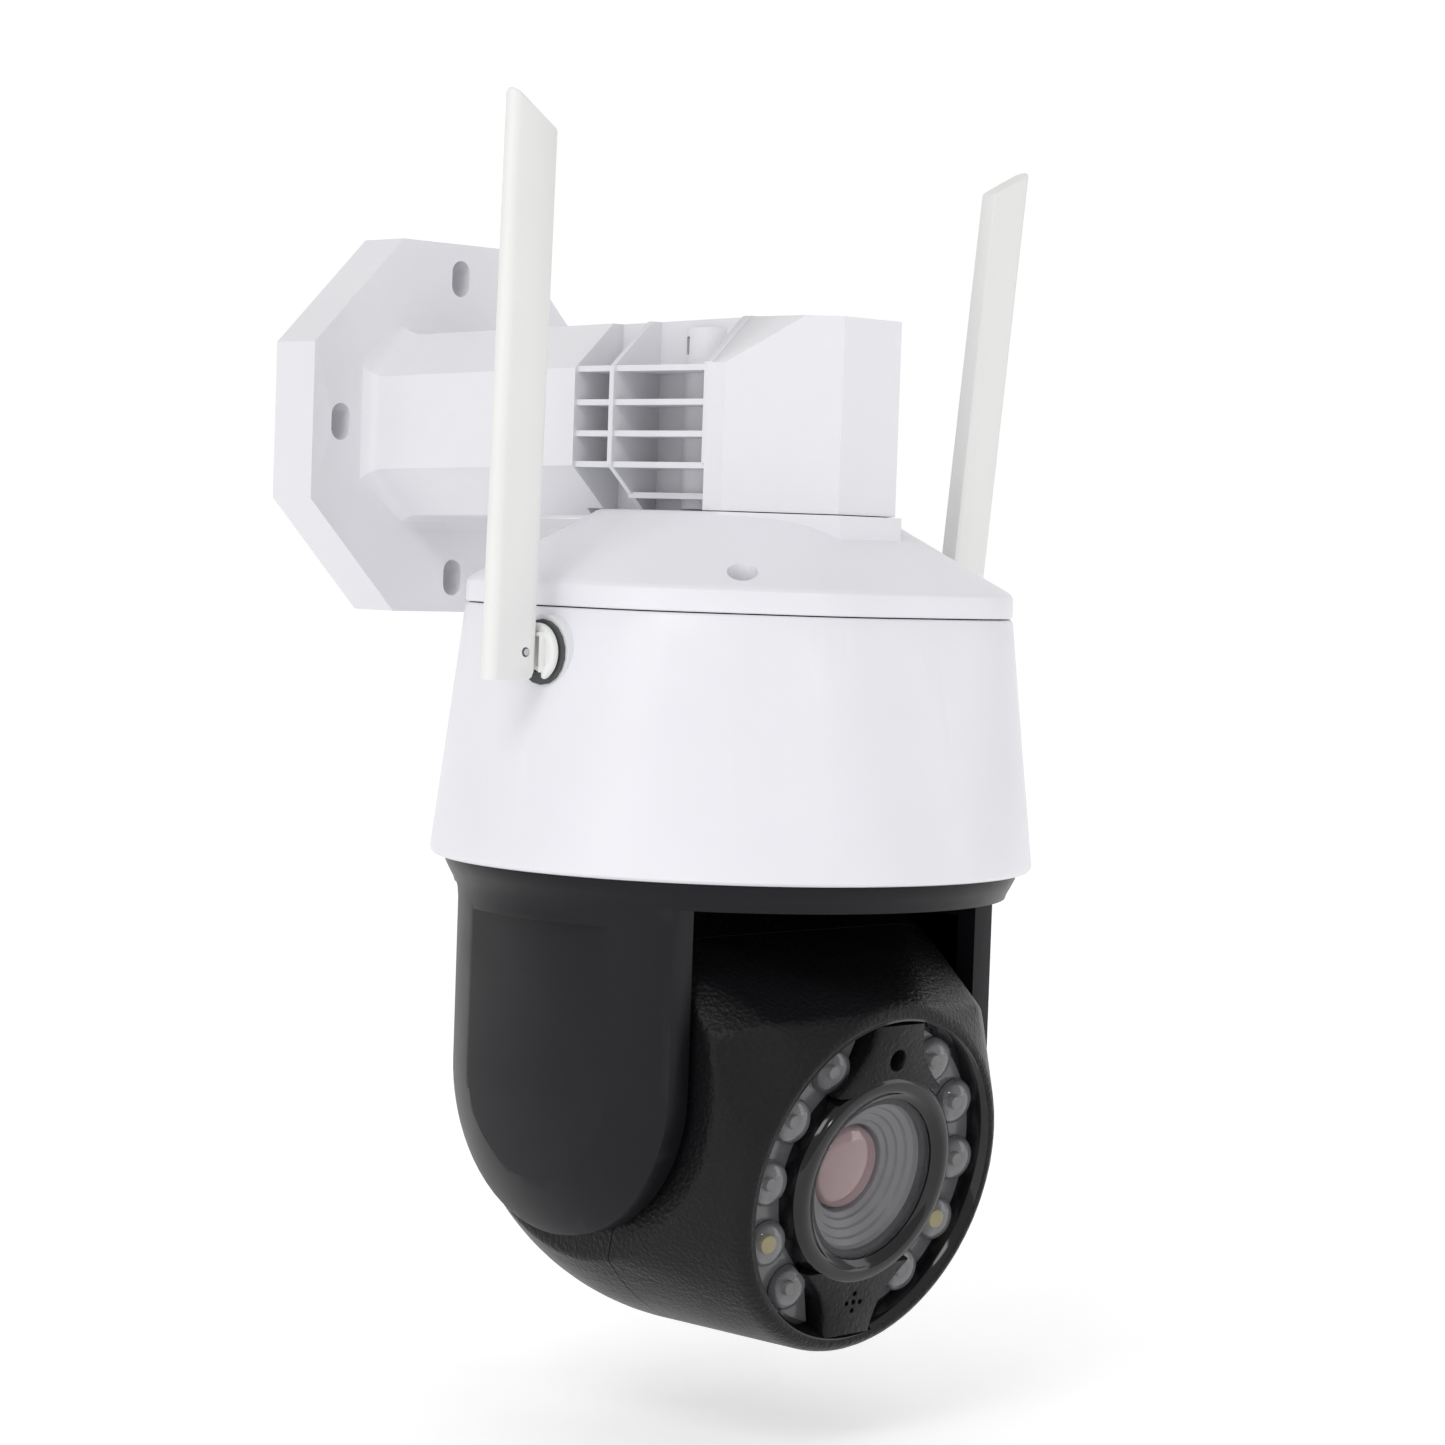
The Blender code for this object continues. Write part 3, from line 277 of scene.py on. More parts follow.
def plastic(name, colour, roughness, grain, depth, metallic=0.0, coat=0.0, wear=None, pores=False, shine=0.5):
    """Moulded surface: grain size in metres, bump depth in metres, tone and gloss that vary a little."""
    paint = bpy.data.materials.new(name)
    paint.use_nodes = True
    tree = paint.node_tree
    shader = tree.nodes["Principled BSDF"]
    where = node(tree, "ShaderNodeTexCoord").outputs["Object"]
    broad = noise(tree, where, 22.0, 3.0)
    fine = noise(tree, where, 1.0 / grain, 3.0)
    dark = tuple(c * 0.955 for c in colour)
    tone = mixed(tree, broad, dark, tuple(min(1.0, c * 1.03) for c in colour))
    if wear is not None:
        shape = node(tree, "ShaderNodeNewGeometry").outputs["Pointiness"]
        edge = node(tree, "ShaderNodeMapRange", {"From Min": 0.52, "From Max": 0.6})
        tree.links.new(shape, edge.inputs["Value"])
        speck = node(tree, "ShaderNodeMath", operation="MULTIPLY")
        tree.links.new(edge.outputs["Result"], speck.inputs[0])
        tree.links.new(noise(tree, where, 160.0), speck.inputs[1])
        mix = node(tree, "ShaderNodeMix", data_type="RGBA")
        tree.links.new(speck.outputs[0], mix.inputs[0])
        tree.links.new(tone, mix.inputs[6])
        mix.inputs[7].default_value = (*wear, 1)
        tone = mix.outputs[2]
    tree.links.new(tone, shader.inputs["Base Color"])
    patches = noise(tree, where, 65.0, 5.0)
    gloss = spread(tree, patches, roughness * 0.82, min(1.0, roughness * 1.18))
    tree.links.new(gloss, shader.inputs["Roughness"])
    shader.inputs["Metallic"].default_value = metallic
    shader.inputs["Specular IOR Level"].default_value = shine
    shader.inputs["Coat Weight"].default_value = coat
    shader.inputs["Coat Roughness"].default_value = 0.06
    height = fine
    if pores:
        cells = node(tree, "ShaderNodeTexVoronoi", {"Scale": 0.72 / grain, "Randomness": 1.0})
        cells.feature = "SMOOTH_F1"
        tree.links.new(where, cells.inputs["Vector"])
        blend = node(tree, "ShaderNodeMath", operation="ADD")
        tree.links.new(cells.outputs["Distance"], blend.inputs[0])
        tree.links.new(fine, blend.inputs[1])
        height = blend.outputs[0]
    bump = node(tree, "ShaderNodeBump", {"Strength": 1.0, "Distance": depth})
    tree.links.new(height, bump.inputs["Height"])
    tree.links.new(bump.outputs["Normal"], shader.inputs["Normal"])
    return paint


def glass(name, tint, clear, roughness=0.02):
    """Thin clear sheet: sees straight through, with a reflection that grows towards the edge of view."""
    paint = bpy.data.materials.new(name)
    paint.use_nodes = True
    tree = paint.node_tree
    shader = tree.nodes["Principled BSDF"]
    shader.inputs["Base Color"].default_value = (*tint, 1)
    shader.inputs["IOR"].default_value = 1.5
    where = node(tree, "ShaderNodeTexCoord").outputs["Object"]
    smear = noise(tree, where, 90.0, 5.0)
    tree.links.new(spread(tree, smear, roughness, roughness + 0.05), shader.inputs["Roughness"])
    tree.links.new(spread(tree, smear, 1 - clear, min(1.0, 1.06 - clear)), shader.inputs["Alpha"])
    return paint


def optic_glass(name, tint, sheen):
    """Solid clear lens with a thin coloured coating."""
    paint = bpy.data.materials.new(name)
    paint.use_nodes = True
    tree = paint.node_tree
    shader = tree.nodes["Principled BSDF"]
    shader.inputs["Transmission Weight"].default_value = 1.0
    shader.inputs["IOR"].default_value = 1.5
    shader.inputs["Specular Tint"].default_value = (*sheen, 1)
    where = node(tree, "ShaderNodeTexCoord").outputs["Object"]
    haze = noise(tree, where, 300.0, 4.0)
    tree.links.new(mixed(tree, haze, tuple(c * 0.96 for c in tint), tint), shader.inputs["Base Color"])
    tree.links.new(spread(tree, haze, 0.0, 0.05), shader.inputs["Roughness"])
    return paint


def make_paints(look):
    """Every finish of the camera, by its short name."""
    paints = {
        "white": plastic("white_moulding", look.body_colour, 0.36, 0.0009, 0.000012, wear=(0.74, 0.74, 0.76)),
        "antenna": plastic("antenna_moulding", look.antenna_colour, 0.46, 0.0006, 0.00003),
        "black": plastic(
            "smooth_black", look.yoke_colour, 0.36, 0.0007, 0.00002, wear=(0.014, 0.014, 0.017), shine=0.2
        ),
        "grain": plastic("grained_black", look.head_colour, 0.36, 0.0009, 0.0002, pores=True, shine=0.18),
        "gloss": plastic(
            "polished_black", (0.005, 0.005, 0.006), 0.10, 0.004, 0.000004, coat=0.15, shine=0.35
        ),
        # lamp panel tone: partly the haze of the clear lamp window, partly painted reflection over the
        # lighter board behind it
        "smoked": plastic("smoked_panel", look.panel_colour, 0.14, 0.006, 0.000004, coat=0.2, shine=0.4),
        "rubber": plastic("seal_rubber", (0.07, 0.075, 0.075), 0.7, 0.0005, 0.00003),
        "steel": plastic("zinc_steel", (0.6, 0.6, 0.62), 0.28, 0.0004, 0.00001, metallic=1.0),
        "brass": plastic("turned_brass", (0.72, 0.52, 0.22), 0.28, 0.0004, 0.00001, metallic=1.0),
        "aluminium": plastic("cast_aluminium", (0.62, 0.63, 0.65), 0.4, 0.0006, 0.00003, metallic=1.0),
        "green": plastic("green_board", (0.02, 0.16, 0.07), 0.4, 0.0008, 0.00002),
        "nylon": plastic("natural_nylon", (0.78, 0.77, 0.7), 0.45, 0.0006, 0.00002),
        "chip": plastic("matt_black", (0.02, 0.02, 0.022), 0.55, 0.0005, 0.00003),
        "reflector": plastic("lamp_cup", (0.16, 0.16, 0.17), 0.3, 0.001, 0.00001, metallic=0.4),
        "emitter": plastic("lamp_chip", (0.22, 0.22, 0.21), 0.3, 0.0006, 0.00001),
        "warm": plastic("warm_phosphor", (0.46, 0.40, 0.20), 0.5, 0.0005, 0.00003),
        "inner": plastic("lens_tube", (0.17, 0.165, 0.17), 0.42, 0.0006, 0.00001, coat=0.2),
        "window": glass("window_glass", (0.22, 0.22, 0.24), 0.93),
        "dome": optic_glass("dome_acrylic", (0.97, 0.98, 1.0), (1.0, 1.0, 1.0)),
        "coated": plastic("coated_element", (0.33, 0.2, 0.2), 0.05, 0.004, 0.000002, coat=1.0),
    }
    return paints


# ---------------------------------------------------------------- geometry nodes
def repeat_group():
    """Node group: a shape set on every point of a mesh, turned, sized, made real and painted."""
    group = bpy.data.node_groups.new("Repeat on points", "GeometryNodeTree")
    make = group.interface.new_socket
    make("Points", in_out="INPUT", socket_type="NodeSocketGeometry")
    make("Shape", in_out="INPUT", socket_type="NodeSocketObject")
    turn = make("Turn", in_out="INPUT", socket_type="NodeSocketVector")
    turn.subtype = "EULER"
    size = make("Size", in_out="INPUT", socket_type="NodeSocketFloat")
    size.default_value = 1.0
    make("Paint", in_out="INPUT", socket_type="NodeSocketMaterial")
    make("Geometry", in_out="OUTPUT", socket_type="NodeSocketGeometry")
    start = group.nodes.new("NodeGroupInput")
    end = group.nodes.new("NodeGroupOutput")
    points = group.nodes.new("GeometryNodeMeshToPoints")
    shape = group.nodes.new("GeometryNodeObjectInfo")
    spots = group.nodes.new("GeometryNodeInstanceOnPoints")
    real = group.nodes.new("GeometryNodeRealizeInstances")
    paint = group.nodes.new("GeometryNodeSetMaterial")
    link = group.links.new
    link(start.outputs["Points"], points.inputs["Mesh"])
    link(points.outputs["Points"], spots.inputs["Points"])
    link(start.outputs["Shape"], shape.inputs["Object"])
    link(shape.outputs["Geometry"], spots.inputs["Instance"])
    link(start.outputs["Turn"], spots.inputs["Rotation"])
    link(start.outputs["Size"], spots.inputs["Scale"])
    link(spots.outputs["Instances"], real.inputs["Geometry"])
    link(real.outputs["Geometry"], paint.inputs["Geometry"])
    link(start.outputs["Paint"], paint.inputs["Material"])
    link(paint.outputs["Geometry"], end.inputs["Geometry"])
    return group


def repeated(name, points, shape, turn, size, paint):
    """Plain mesh object with one copy of the shape at each point."""
    group = bpy.data.node_groups.get("Repeat on points") or repeat_group()
    bm = bmesh.new()
    for point in points:
        bm.verts.new(point)
    obj = new_object(name, bm)
    pattern = new_object(f"{name}_pattern", shape)
    step = obj.modifiers.new("repeat", "NODES")
    step.node_group = group
    sockets = {item.name: item.identifier for item in group.interface.items_tree if item.in_out == "INPUT"}
    step[sockets["Shape"]] = pattern
    step[sockets["Turn"]] = turn
    step[sockets["Size"]] = size
    step[sockets["Paint"]] = paint
    settle(obj)
    bpy.data.meshes.remove(pattern.data)
    return obj


# ---------------------------------------------------------------- wall bracket
PLATE_THICK = 0.0175
CHAMFER_WIDE = 14 * MM
CHAMFER_HIGH = 13 * MM
PLATE_HALF = 54.5 * MM
SLOT_OFFSET = 44.3 * MM
BLOCK_BACK_Y = -0.1545
BLOCK_TOP = 0.0292


def octagon(half, y, share=0.414):
    """Eight corners of the wall plate at a distance from the wall."""
    short = half * share
    corners = [(short, half), (half, short), (half, -short), (short, -half)]
    corners += [(-x, z) for x, z in reversed(corners)]
    return [(x, y, z) for x, z in corners]


def arm_section(y, grow=0.0):
    """Chamfered rectangle across the arm; the arm rises and narrows a little away from the wall."""
    run = (-y - PLATE_THICK) / (-BLOCK_BACK_Y - PLATE_THICK)
    width = (34.0 - 2.0 * run) * MM + grow
    centre = 3.0 * MM * run
    high = 26.4 * MM + grow
    inner = width - CHAMFER_WIDE
    shoulder = high - CHAMFER_HIGH
    corners = [(inner, high), (width, shoulder), (width, -shoulder), (inner, -high)]
    corners += [(-x, z) for x, z in reversed(corners)]
    return [(x, y, z + centre) for x, z in corners]


def stadium(x, z, width, height, low, high, steps=14):
    """Upright slot with round ends, through the wall plate."""
    radius = width / 2
    reach = height / 2 - radius
    outline = []
    for flip in (0, 1):
        for i in range(steps + 1):
            angle = pi * flip + pi * i / steps
            shift = -reach if flip else reach
            outline.append((x + radius * cos(angle), z + shift + radius * sin(angle)))
    return loft([[(a, y, b) for a, b in outline] for y in (low, high)])


def make_bracket(look, paints):
    """Wall plate, arm with its ribbed recesses and the block over the camera."""
    front = -PLATE_THICK
    plate = loft([octagon(PLATE_HALF, 0.0), octagon(PLATE_HALF, front)])
    steps = ((-8, 4.4), (-17.5, 4.4), (-18.0, 3.0), (-18.9, 1.7), (-20.2, 0.8), (-22.0, 0.2), (-24.0, 0.0))
    arm = loft([arm_section(y * MM, grow * MM) for y, grow in steps] + [arm_section(BLOCK_BACK_Y - 2 * MM)])
    recesses = [
        box((side * 15 * MM, side * 60 * MM), (BLOCK_BACK_Y + MM, -0.104), (-60 * MM, 60 * MM))
        for side in (-1, 1)
    ]
    body = combine("bracket_stem", plate, [arm], recesses)
    plan = [(32 * MM, BLOCK_BACK_Y), (32 * MM, -161.5 * MM), (11.2 * MM, -184.5 * MM)]
    plan += [(-x, y) for x, y in reversed(plan)]
    block = loft([[(x, y, z) for x, y in plan] for z in (BLOCK_BOTTOM - 2 * MM, BLOCK_TOP)])
    wedges = []
    low = BLOCK_TOP - CHAMFER_HIGH
    slope = CHAMFER_HIGH / CHAMFER_WIDE
    for side in (-1, 1):
        corners = [(32 * MM, low), (60 * MM, low - 28 * MM * slope), (60 * MM, 60 * MM)]
        corners.append((32 * MM - (60 * MM - low) / slope, 60 * MM))
        wedges.append(loft([[(side * x, y, z) for x, z in corners] for y in (-0.2, -0.1)]))
    nose = combine("bracket_nose", block, (), wedges)
    joins = []
    for level in (14.2, 5.0, -3.5, -11.9):
        shelf = box((-31.6 * MM, 31.6 * MM), (BLOCK_BACK_Y - MM, -0.103), (level * MM, (level + 1.6) * MM))
        joins.append(shelf)
    joins.append(box((-24 * MM, 24 * MM), (BLOCK_BACK_Y - MM, -0.1175), (-20.0 * MM, -18.4 * MM)))
    joins.append(loft([arm_section(-0.1175, -0.05 * MM), arm_section(-0.1192, -0.05 * MM)]))
    for side in (-1, 1):
        post = Matrix.Translation((side * 11 * MM, -0.137, 0))
        joins.append(rod(8.5 * MM, -22.6 * MM, 26.6 * MM, 48, post))
    joins.append(taken(nose))
    cuts = [box((-50 * MM, 50 * MM), (-0.2, -0.0975), (-60 * MM, BLOCK_BOTTOM))]
    for x, z in ((-1, 0), (1, 0), (0, 1), (0, -1)):
        cuts.append(stadium(x * SLOT_OFFSET, z * SLOT_OFFSET, 6.8 * MM, 10.7 * MM, 5 * MM, -30 * MM))
    bore = Matrix.Translation((0, 0, -13.5 * MM)) @ Matrix.Rotation(radians(90), 4, "X")
    cuts.append(rod(6.5 * MM, -5 * MM, 145 * MM, 40, bore))
    cuts.append(rod(6.3 * MM, -40 * MM, -13.5 * MM, 40, PAN))
    for side in (-1, 1):
        cuts.append(box((side * 2 * MM, side * 40 * MM), (-0.1345, -0.1328), (19.3 * MM, 24.2 * MM)))
        drop = Matrix.Translation((side * 24 * MM, -0.114, -16.5 * MM)) @ Matrix.Rotation(radians(90), 4, "Y")
        cuts.append(rod(1.5 * MM, -3 * MM, 3 * MM, 20, drop))
    made = combine("bracket_moulding", taken(body), joins, cuts)
    rounded(made, look.edge_radius, 3, 24)
    dress(made, paints["white"], "mount", ["wall_bracket"], 50)


# ---------------------------------------------------------------- cover and housing
BODY_FLAT = 71.5 * MM
BODY_DIAGONAL = 74.9 * MM
RIM_RADIUS = 83 * MM
STEPS = 192


def body_ring(flat, diagonal, z, share=0.0, full=RIM_RADIUS, sharpness=15.0):
    """Octagon with soft corners, blended towards a circle by share."""
    points = []
    for i in range(STEPS):
        angle = 2 * pi * i / STEPS
        total = 0.0
        for k in range(4):
            size = flat if k % 2 == 0 else diagonal
            total += (abs(cos(angle - k * pi / 4)) / size) ** sharpness
        radius = total ** (-1 / sharpness)
        radius += (full - radius) * share
        points.append((radius * cos(angle), AXIS_Y + radius * sin(angle), z))
    return points


def housing_ring(z, inset=0.0):
    """Outline of the housing at a height; it turns from octagon to circle on the way down."""
    share = (SEAM_Z - z) / (SEAM_Z - RIM_Z)
    return body_ring(BODY_FLAT - inset, BODY_DIAGONAL - inset, z, share, RIM_RADIUS - inset)


def make_cover(look, paints):
    """Sloping cover with its plinth, deep screw holes and screws."""
    flat = BODY_FLAT
    diagonal = BODY_DIAGONAL
    rings = [
        body_ring(flat - 0.35 * MM, diagonal - 0.35 * MM, SEAM_Z),
        body_ring(flat, diagonal, SEAM_Z + 0.35 * MM),
        body_ring(flat, diagonal, -44.6 * MM),
        body_ring(flat - 0.15 * MM, diagonal - 0.15 * MM, -43.7 * MM),
        body_ring(flat - 0.7 * MM, diagonal - 0.7 * MM, -42.9 * MM),
        body_ring(flat - 1.7 * MM, diagonal - 1.7 * MM, -42.2 * MM),
        body_ring(39.6 * MM, 41.0 * MM, -24.4 * MM),
        body_ring(38.9 * MM, 40.3 * MM, -23.8 * MM),
        body_ring(37.6 * MM, 39.0 * MM, BLOCK_BOTTOM - 0.3 * MM),
    ]
    plan = [(33.4 * MM, -0.132), (33.4 * MM, -162.1 * MM), (12.0 * MM, -186.1 * MM)]
    plan += [(-x, y) for x, y in reversed(plan)]
    plinth = loft([[(x, y, z) for x, y in plan] for z in (-45 * MM, BLOCK_BOTTOM - 0.3 * MM)])
    reach = 67 * MM / sqrt(2)
    spots = [(sx * reach, AXIS_Y + sy * reach) for sx in (-1, 1) for sy in (-1, 1)]
    inside = loft(
        [
            body_ring(flat - 2.8 * MM, diagonal - 2.8 * MM, -54 * MM),
            body_ring(flat - 2.8 * MM, diagonal - 2.8 * MM, -46 * MM),
            body_ring(36 * MM, 38 * MM, -27.3 * MM),
        ]
    )
    shell = combine("cover_shell", loft(rings), [plinth], [inside])
    posts = [rod(5.2 * MM, SEAM_Z, -41.5 * MM, 40, Matrix.Translation((x, y, 0))) for x, y in spots]
    cuts = []
    for x, y in spots:
        place = Matrix.Translation((x, y, 0))
        cuts.append(rod(4.0 * MM, -44.5 * MM, -25 * MM, 48, place))
        cuts.append(rod(1.9 * MM, -60 * MM, -43 * MM, 24, place))
    cuts.append(rod(6.5 * MM, -40 * MM, -15 * MM, 40, PAN))
    made = combine("cover_moulding", taken(shell), posts, cuts)
    rounded(made, look.edge_radius * 1.3, 3, 24)
    dress(made, paints["white"], "mount", ["top_cover"], 50)

    profile = [
        (0, -15 * MM), (1.2 * MM, -15 * MM), (1.5 * MM, -14 * MM), (1.5 * MM, 0), (3.5 * MM, 0),
        (3.5 * MM, 1.0 * MM), (3.2 * MM, 1.8 * MM), (2.3 * MM, 2.3 * MM), (0, 2.4 * MM),
    ]
    screw = lathe(profile, 28)
    arms = [box((-2.1 * MM, 2.1 * MM), (-0.45 * MM, 0.45 * MM), (1.1 * MM, 4 * MM))]
    arms.append(box((-0.45 * MM, 0.45 * MM), (-2.1 * MM, 2.1 * MM), (1.1 * MM, 4 * MM)))
    single = combine("screw_shape", screw, (), arms)
    bm = bmesh.new()
    bm.from_mesh(single.data)
    bpy.data.meshes.remove(single.data)
    seats = [(x, y, -44.2 * MM) for x, y in spots]
    screws = repeated("cover_screws", seats, bm, (0, 0, 0.6), 1.0, paints["steel"])
    dress(screws, paints["steel"], "mount", [f"cover_screw_{i}" for i in range(1, 5)], 35)


def make_housing(look, paints):
    """Hollow white body with the bosses for the antennas."""
    levels = [(SEAM_Z - 0.35 * MM, 0.6), (SEAM_Z - 0.6 * MM, 0.25), (SEAM_Z - 1.1 * MM, 0.0)]
    levels += [(z * MM, 0.0) for z in range(-56, -116, -6)]
    levels += [(RIM_Z + 1.9 * MM, 0.0), (RIM_Z + 0.9 * MM, 0.25), (RIM_Z + 0.3 * MM, 0.8), (RIM_Z, 1.6)]
    outer = [housing_ring(z, inset * MM) for z, inset in levels]
    inner = [(RIM_Z, 3.2), (-0.1122, 3.2)]
    floor = [housing_ring(z, inset * MM) for z, inset in inner]
    turns = [2 * pi * i / STEPS for i in range(STEPS)]
    bore = [(24 * MM * cos(turn), AXIS_Y + 24 * MM * sin(turn)) for turn in turns]
    floor.append([(x, y, -0.112) for x, y in bore])
    floor.append([(x, y, -0.109) for x, y in bore])
    wall = [housing_ring(z, 2.8 * MM) for z in (-0.109, -0.08, SEAM_Z - 0.35 * MM)]
    shell = loft(outer + floor + wall, loop=True)
    pads = []
    cuts = []
    for side in (-1, 1):
        turn = Matrix.Rotation(0 if side > 0 else pi, 4, "Z") @ Matrix.Rotation(radians(90), 4, "Y")
        place = Matrix.Translation((0, -0.1405, -0.0612)) @ turn
        pads.append(rod(9.6 * MM, 69.2 * MM, 74.6 * MM, 64, place))
        cuts.append(rod(5.5 * MM, 60 * MM, 80 * MM, 40, place))
    made = combine("housing_moulding", shell, pads, cuts)
    dress(made, paints["white"], "mount", ["housing"], 30)


# ---------------------------------------------------------------- fork
FORK_RADIUS = 75.3 * MM
ARM_DEPTH = 42 * MM
ARM_INNER = 55.4 * MM
ROOF_Z = -0.126


def make_fork(look, paints):
    """Black fork that turns under the housing and carries the head."""
    profile = [
        (10, -94), (20, -94), (20, -113), (70, -113), (70, -116), (77.6, -116.6), (78.6, -117.6),
        (78.8, -119), (78.5, -120.6), (77.5, -122.6), (76.3, -124.8), (75.6, -127), (75.3, -130),
    ]
    profile = [(r * MM, z * MM) for r, z in profile]
    for i in range(28):
        angle = radians(62 * i / 27)
        profile.append((FORK_RADIUS * cos(angle), TILT_Z - FORK_RADIUS * sin(angle)))
    profile.append((10 * MM, TILT_Z - FORK_RADIUS * sin(radians(62))))
    wide = 90 * MM
    slot = ARM_INNER
    plan = [(-wide, -wide), (wide, -wide), (wide, -ARM_DEPTH), (slot, -ARM_DEPTH), (slot, ARM_DEPTH)]
    plan += [(wide, ARM_DEPTH), (wide, wide), (-wide, wide), (-wide, ARM_DEPTH), (-slot, ARM_DEPTH)]
    plan += [(-slot, -ARM_DEPTH), (-wide, -ARM_DEPTH)]
    gap = loft([[(x, AXIS_Y + y, z) for x, y in plan] for z in (-270 * MM, ROOF_Z)])
    arc = [(ARM_DEPTH * cos(pi * i / 48), TILT_Z - ARM_DEPTH * sin(pi * i / 48)) for i in range(1, 48)]
    lead = 2 * ARM_DEPTH - arc[0][0]
    top = 2 * TILT_Z - arc[0][1]
    below = [(wide, top), (lead, top)] + arc + [(-lead, top), (-wide, top)]
    below += [(-wide, -270 * MM), (wide, -270 * MM)]
    foot = loft([[(x, AXIS_Y + y, z) for y, z in below] for x in (-wide, wide)])
    sides = []
    for side in (-1, 1):
        across = (side * 70.4 * MM, side * 95 * MM)
        sides.append(box(across, (AXIS_Y - 0.06, AXIS_Y + 0.06), (-0.28, -0.1315)))
    made = combine("fork_moulding", lathe(profile, 160, PAN), (), [gap, foot] + sides)
    rounded(made, 1.1 * MM, 3, 22)
    dress(made, paints["black"], "yoke", ["yoke"], 42)


# ---------------------------------------------------------------- head
def head_points():
    """Points whose hull is the ball head with its flat sides, drawn out to the round rim."""
    to_face = FACE.inverted()
    points = []
    for k in range(25):
        x = 53 * MM * (-1 + k / 12)
        reach = sqrt((72.5 * MM) ** 2 - x * x)
        for i in range(70):
            angle = radians(-18 + 150 * i / 69)
            point = Vector((x, AXIS_Y - reach * cos(angle), TILT_Z - reach * sin(angle)))
            if (to_face @ point).z < -9 * MM:
                points.append(tuple(point))
    for x, radius in ((53, 41.5), (51, 45), (46, 46.5)):
        for i in range(70):
            angle = radians(125 + 225 * i / 69)
            y = AXIS_Y - radius * MM * cos(angle)
            z = TILT_Z - radius * MM * sin(angle)
            points += [(x * MM, y, z), (-x * MM, y, z)]
    for radius, w in ((49.6, -6.0), (49.3, -4.0), (48.5, -2.3), (47.4, -1.1), (46.2, -0.5)):
        points += [tuple(FACE @ Vector(p)) for p in circle(radius * MM, w * MM, 120)]
    return points


def make_head(look, paints):
    """Front and rear shells of the head, with the mouth for the face."""
    halves = (("head_front", 1, "head_front_shell"), ("head_rear", -1, "head_rear_shell"))
    for name, keep, node_name in halves:
        shell = softened(new_object(name, hull(head_points())), 0.95 * MM, 5)
        plane = -42 * MM + 0.12 * MM * keep
        low, high = sorted((plane, -keep * 0.2))
        cuts = [box((-0.2, 0.2), (-0.2, 0.2), (low, high), FACE)]
        if keep > 0:
            mouth = [(0, -16), (43.2, -16), (43.2, -5.5), (44.9, -0.9), (46.2, -0.45), (50, 4), (0, 4)]
            cuts.append(lathe([(r * MM, w * MM) for r, w in mouth], 128, FACE))
            cuts.append(rod(20 * MM, -45 * MM, -10 * MM, 64, FACE))
        else:
            cuts.append(rod(44 * MM, -90 * MM, -14 * MM, 96, FACE))
        made = combine(name, taken(shell), (), cuts)
        dress(made, paints["grain"], "head", [node_name], 40)


# ---------------------------------------------------------------- face
def smooth_path(points, steps=8):
    """Curve through the points, for moulded outlines."""
    dense = []
    for i in range(len(points) - 1):
        before = Vector(points[max(i - 1, 0)])
        a = Vector(points[i])
        b = Vector(points[i + 1])
        after = Vector(points[min(i + 2, len(points) - 1)])
        for k in range(steps):
            t = k / steps
            near = (b - before) * 0.5
            far = (after - a) * 0.5
            point = (2 * t**3 - 3 * t**2 + 1) * a + (t**3 - 2 * t**2 + t) * near
            point += (3 * t**2 - 2 * t**3) * b + (t**3 - t**2) * far
            dense.append(tuple(point))
    dense.append(tuple(points[-1]))
    return dense


def strip_outline(sign, grow=0.0):
    """Half-outline of the bar above or below the lens, mirrored; grow widens it."""
    half = [(9.2, 43.4), (9.6, 40.0), (10.8, 36.0), (12.6, 32.4), (16.4, 28.2), (20.5, 24.4)]
    half = smooth_path([(u + grow, v) for u, v in half], 5)
    whole = [(u, sign * v) for u, v in half] + [(-u, sign * v) for u, v in reversed(half)]
    return [(u * MM, v * MM) for u, v in whole]


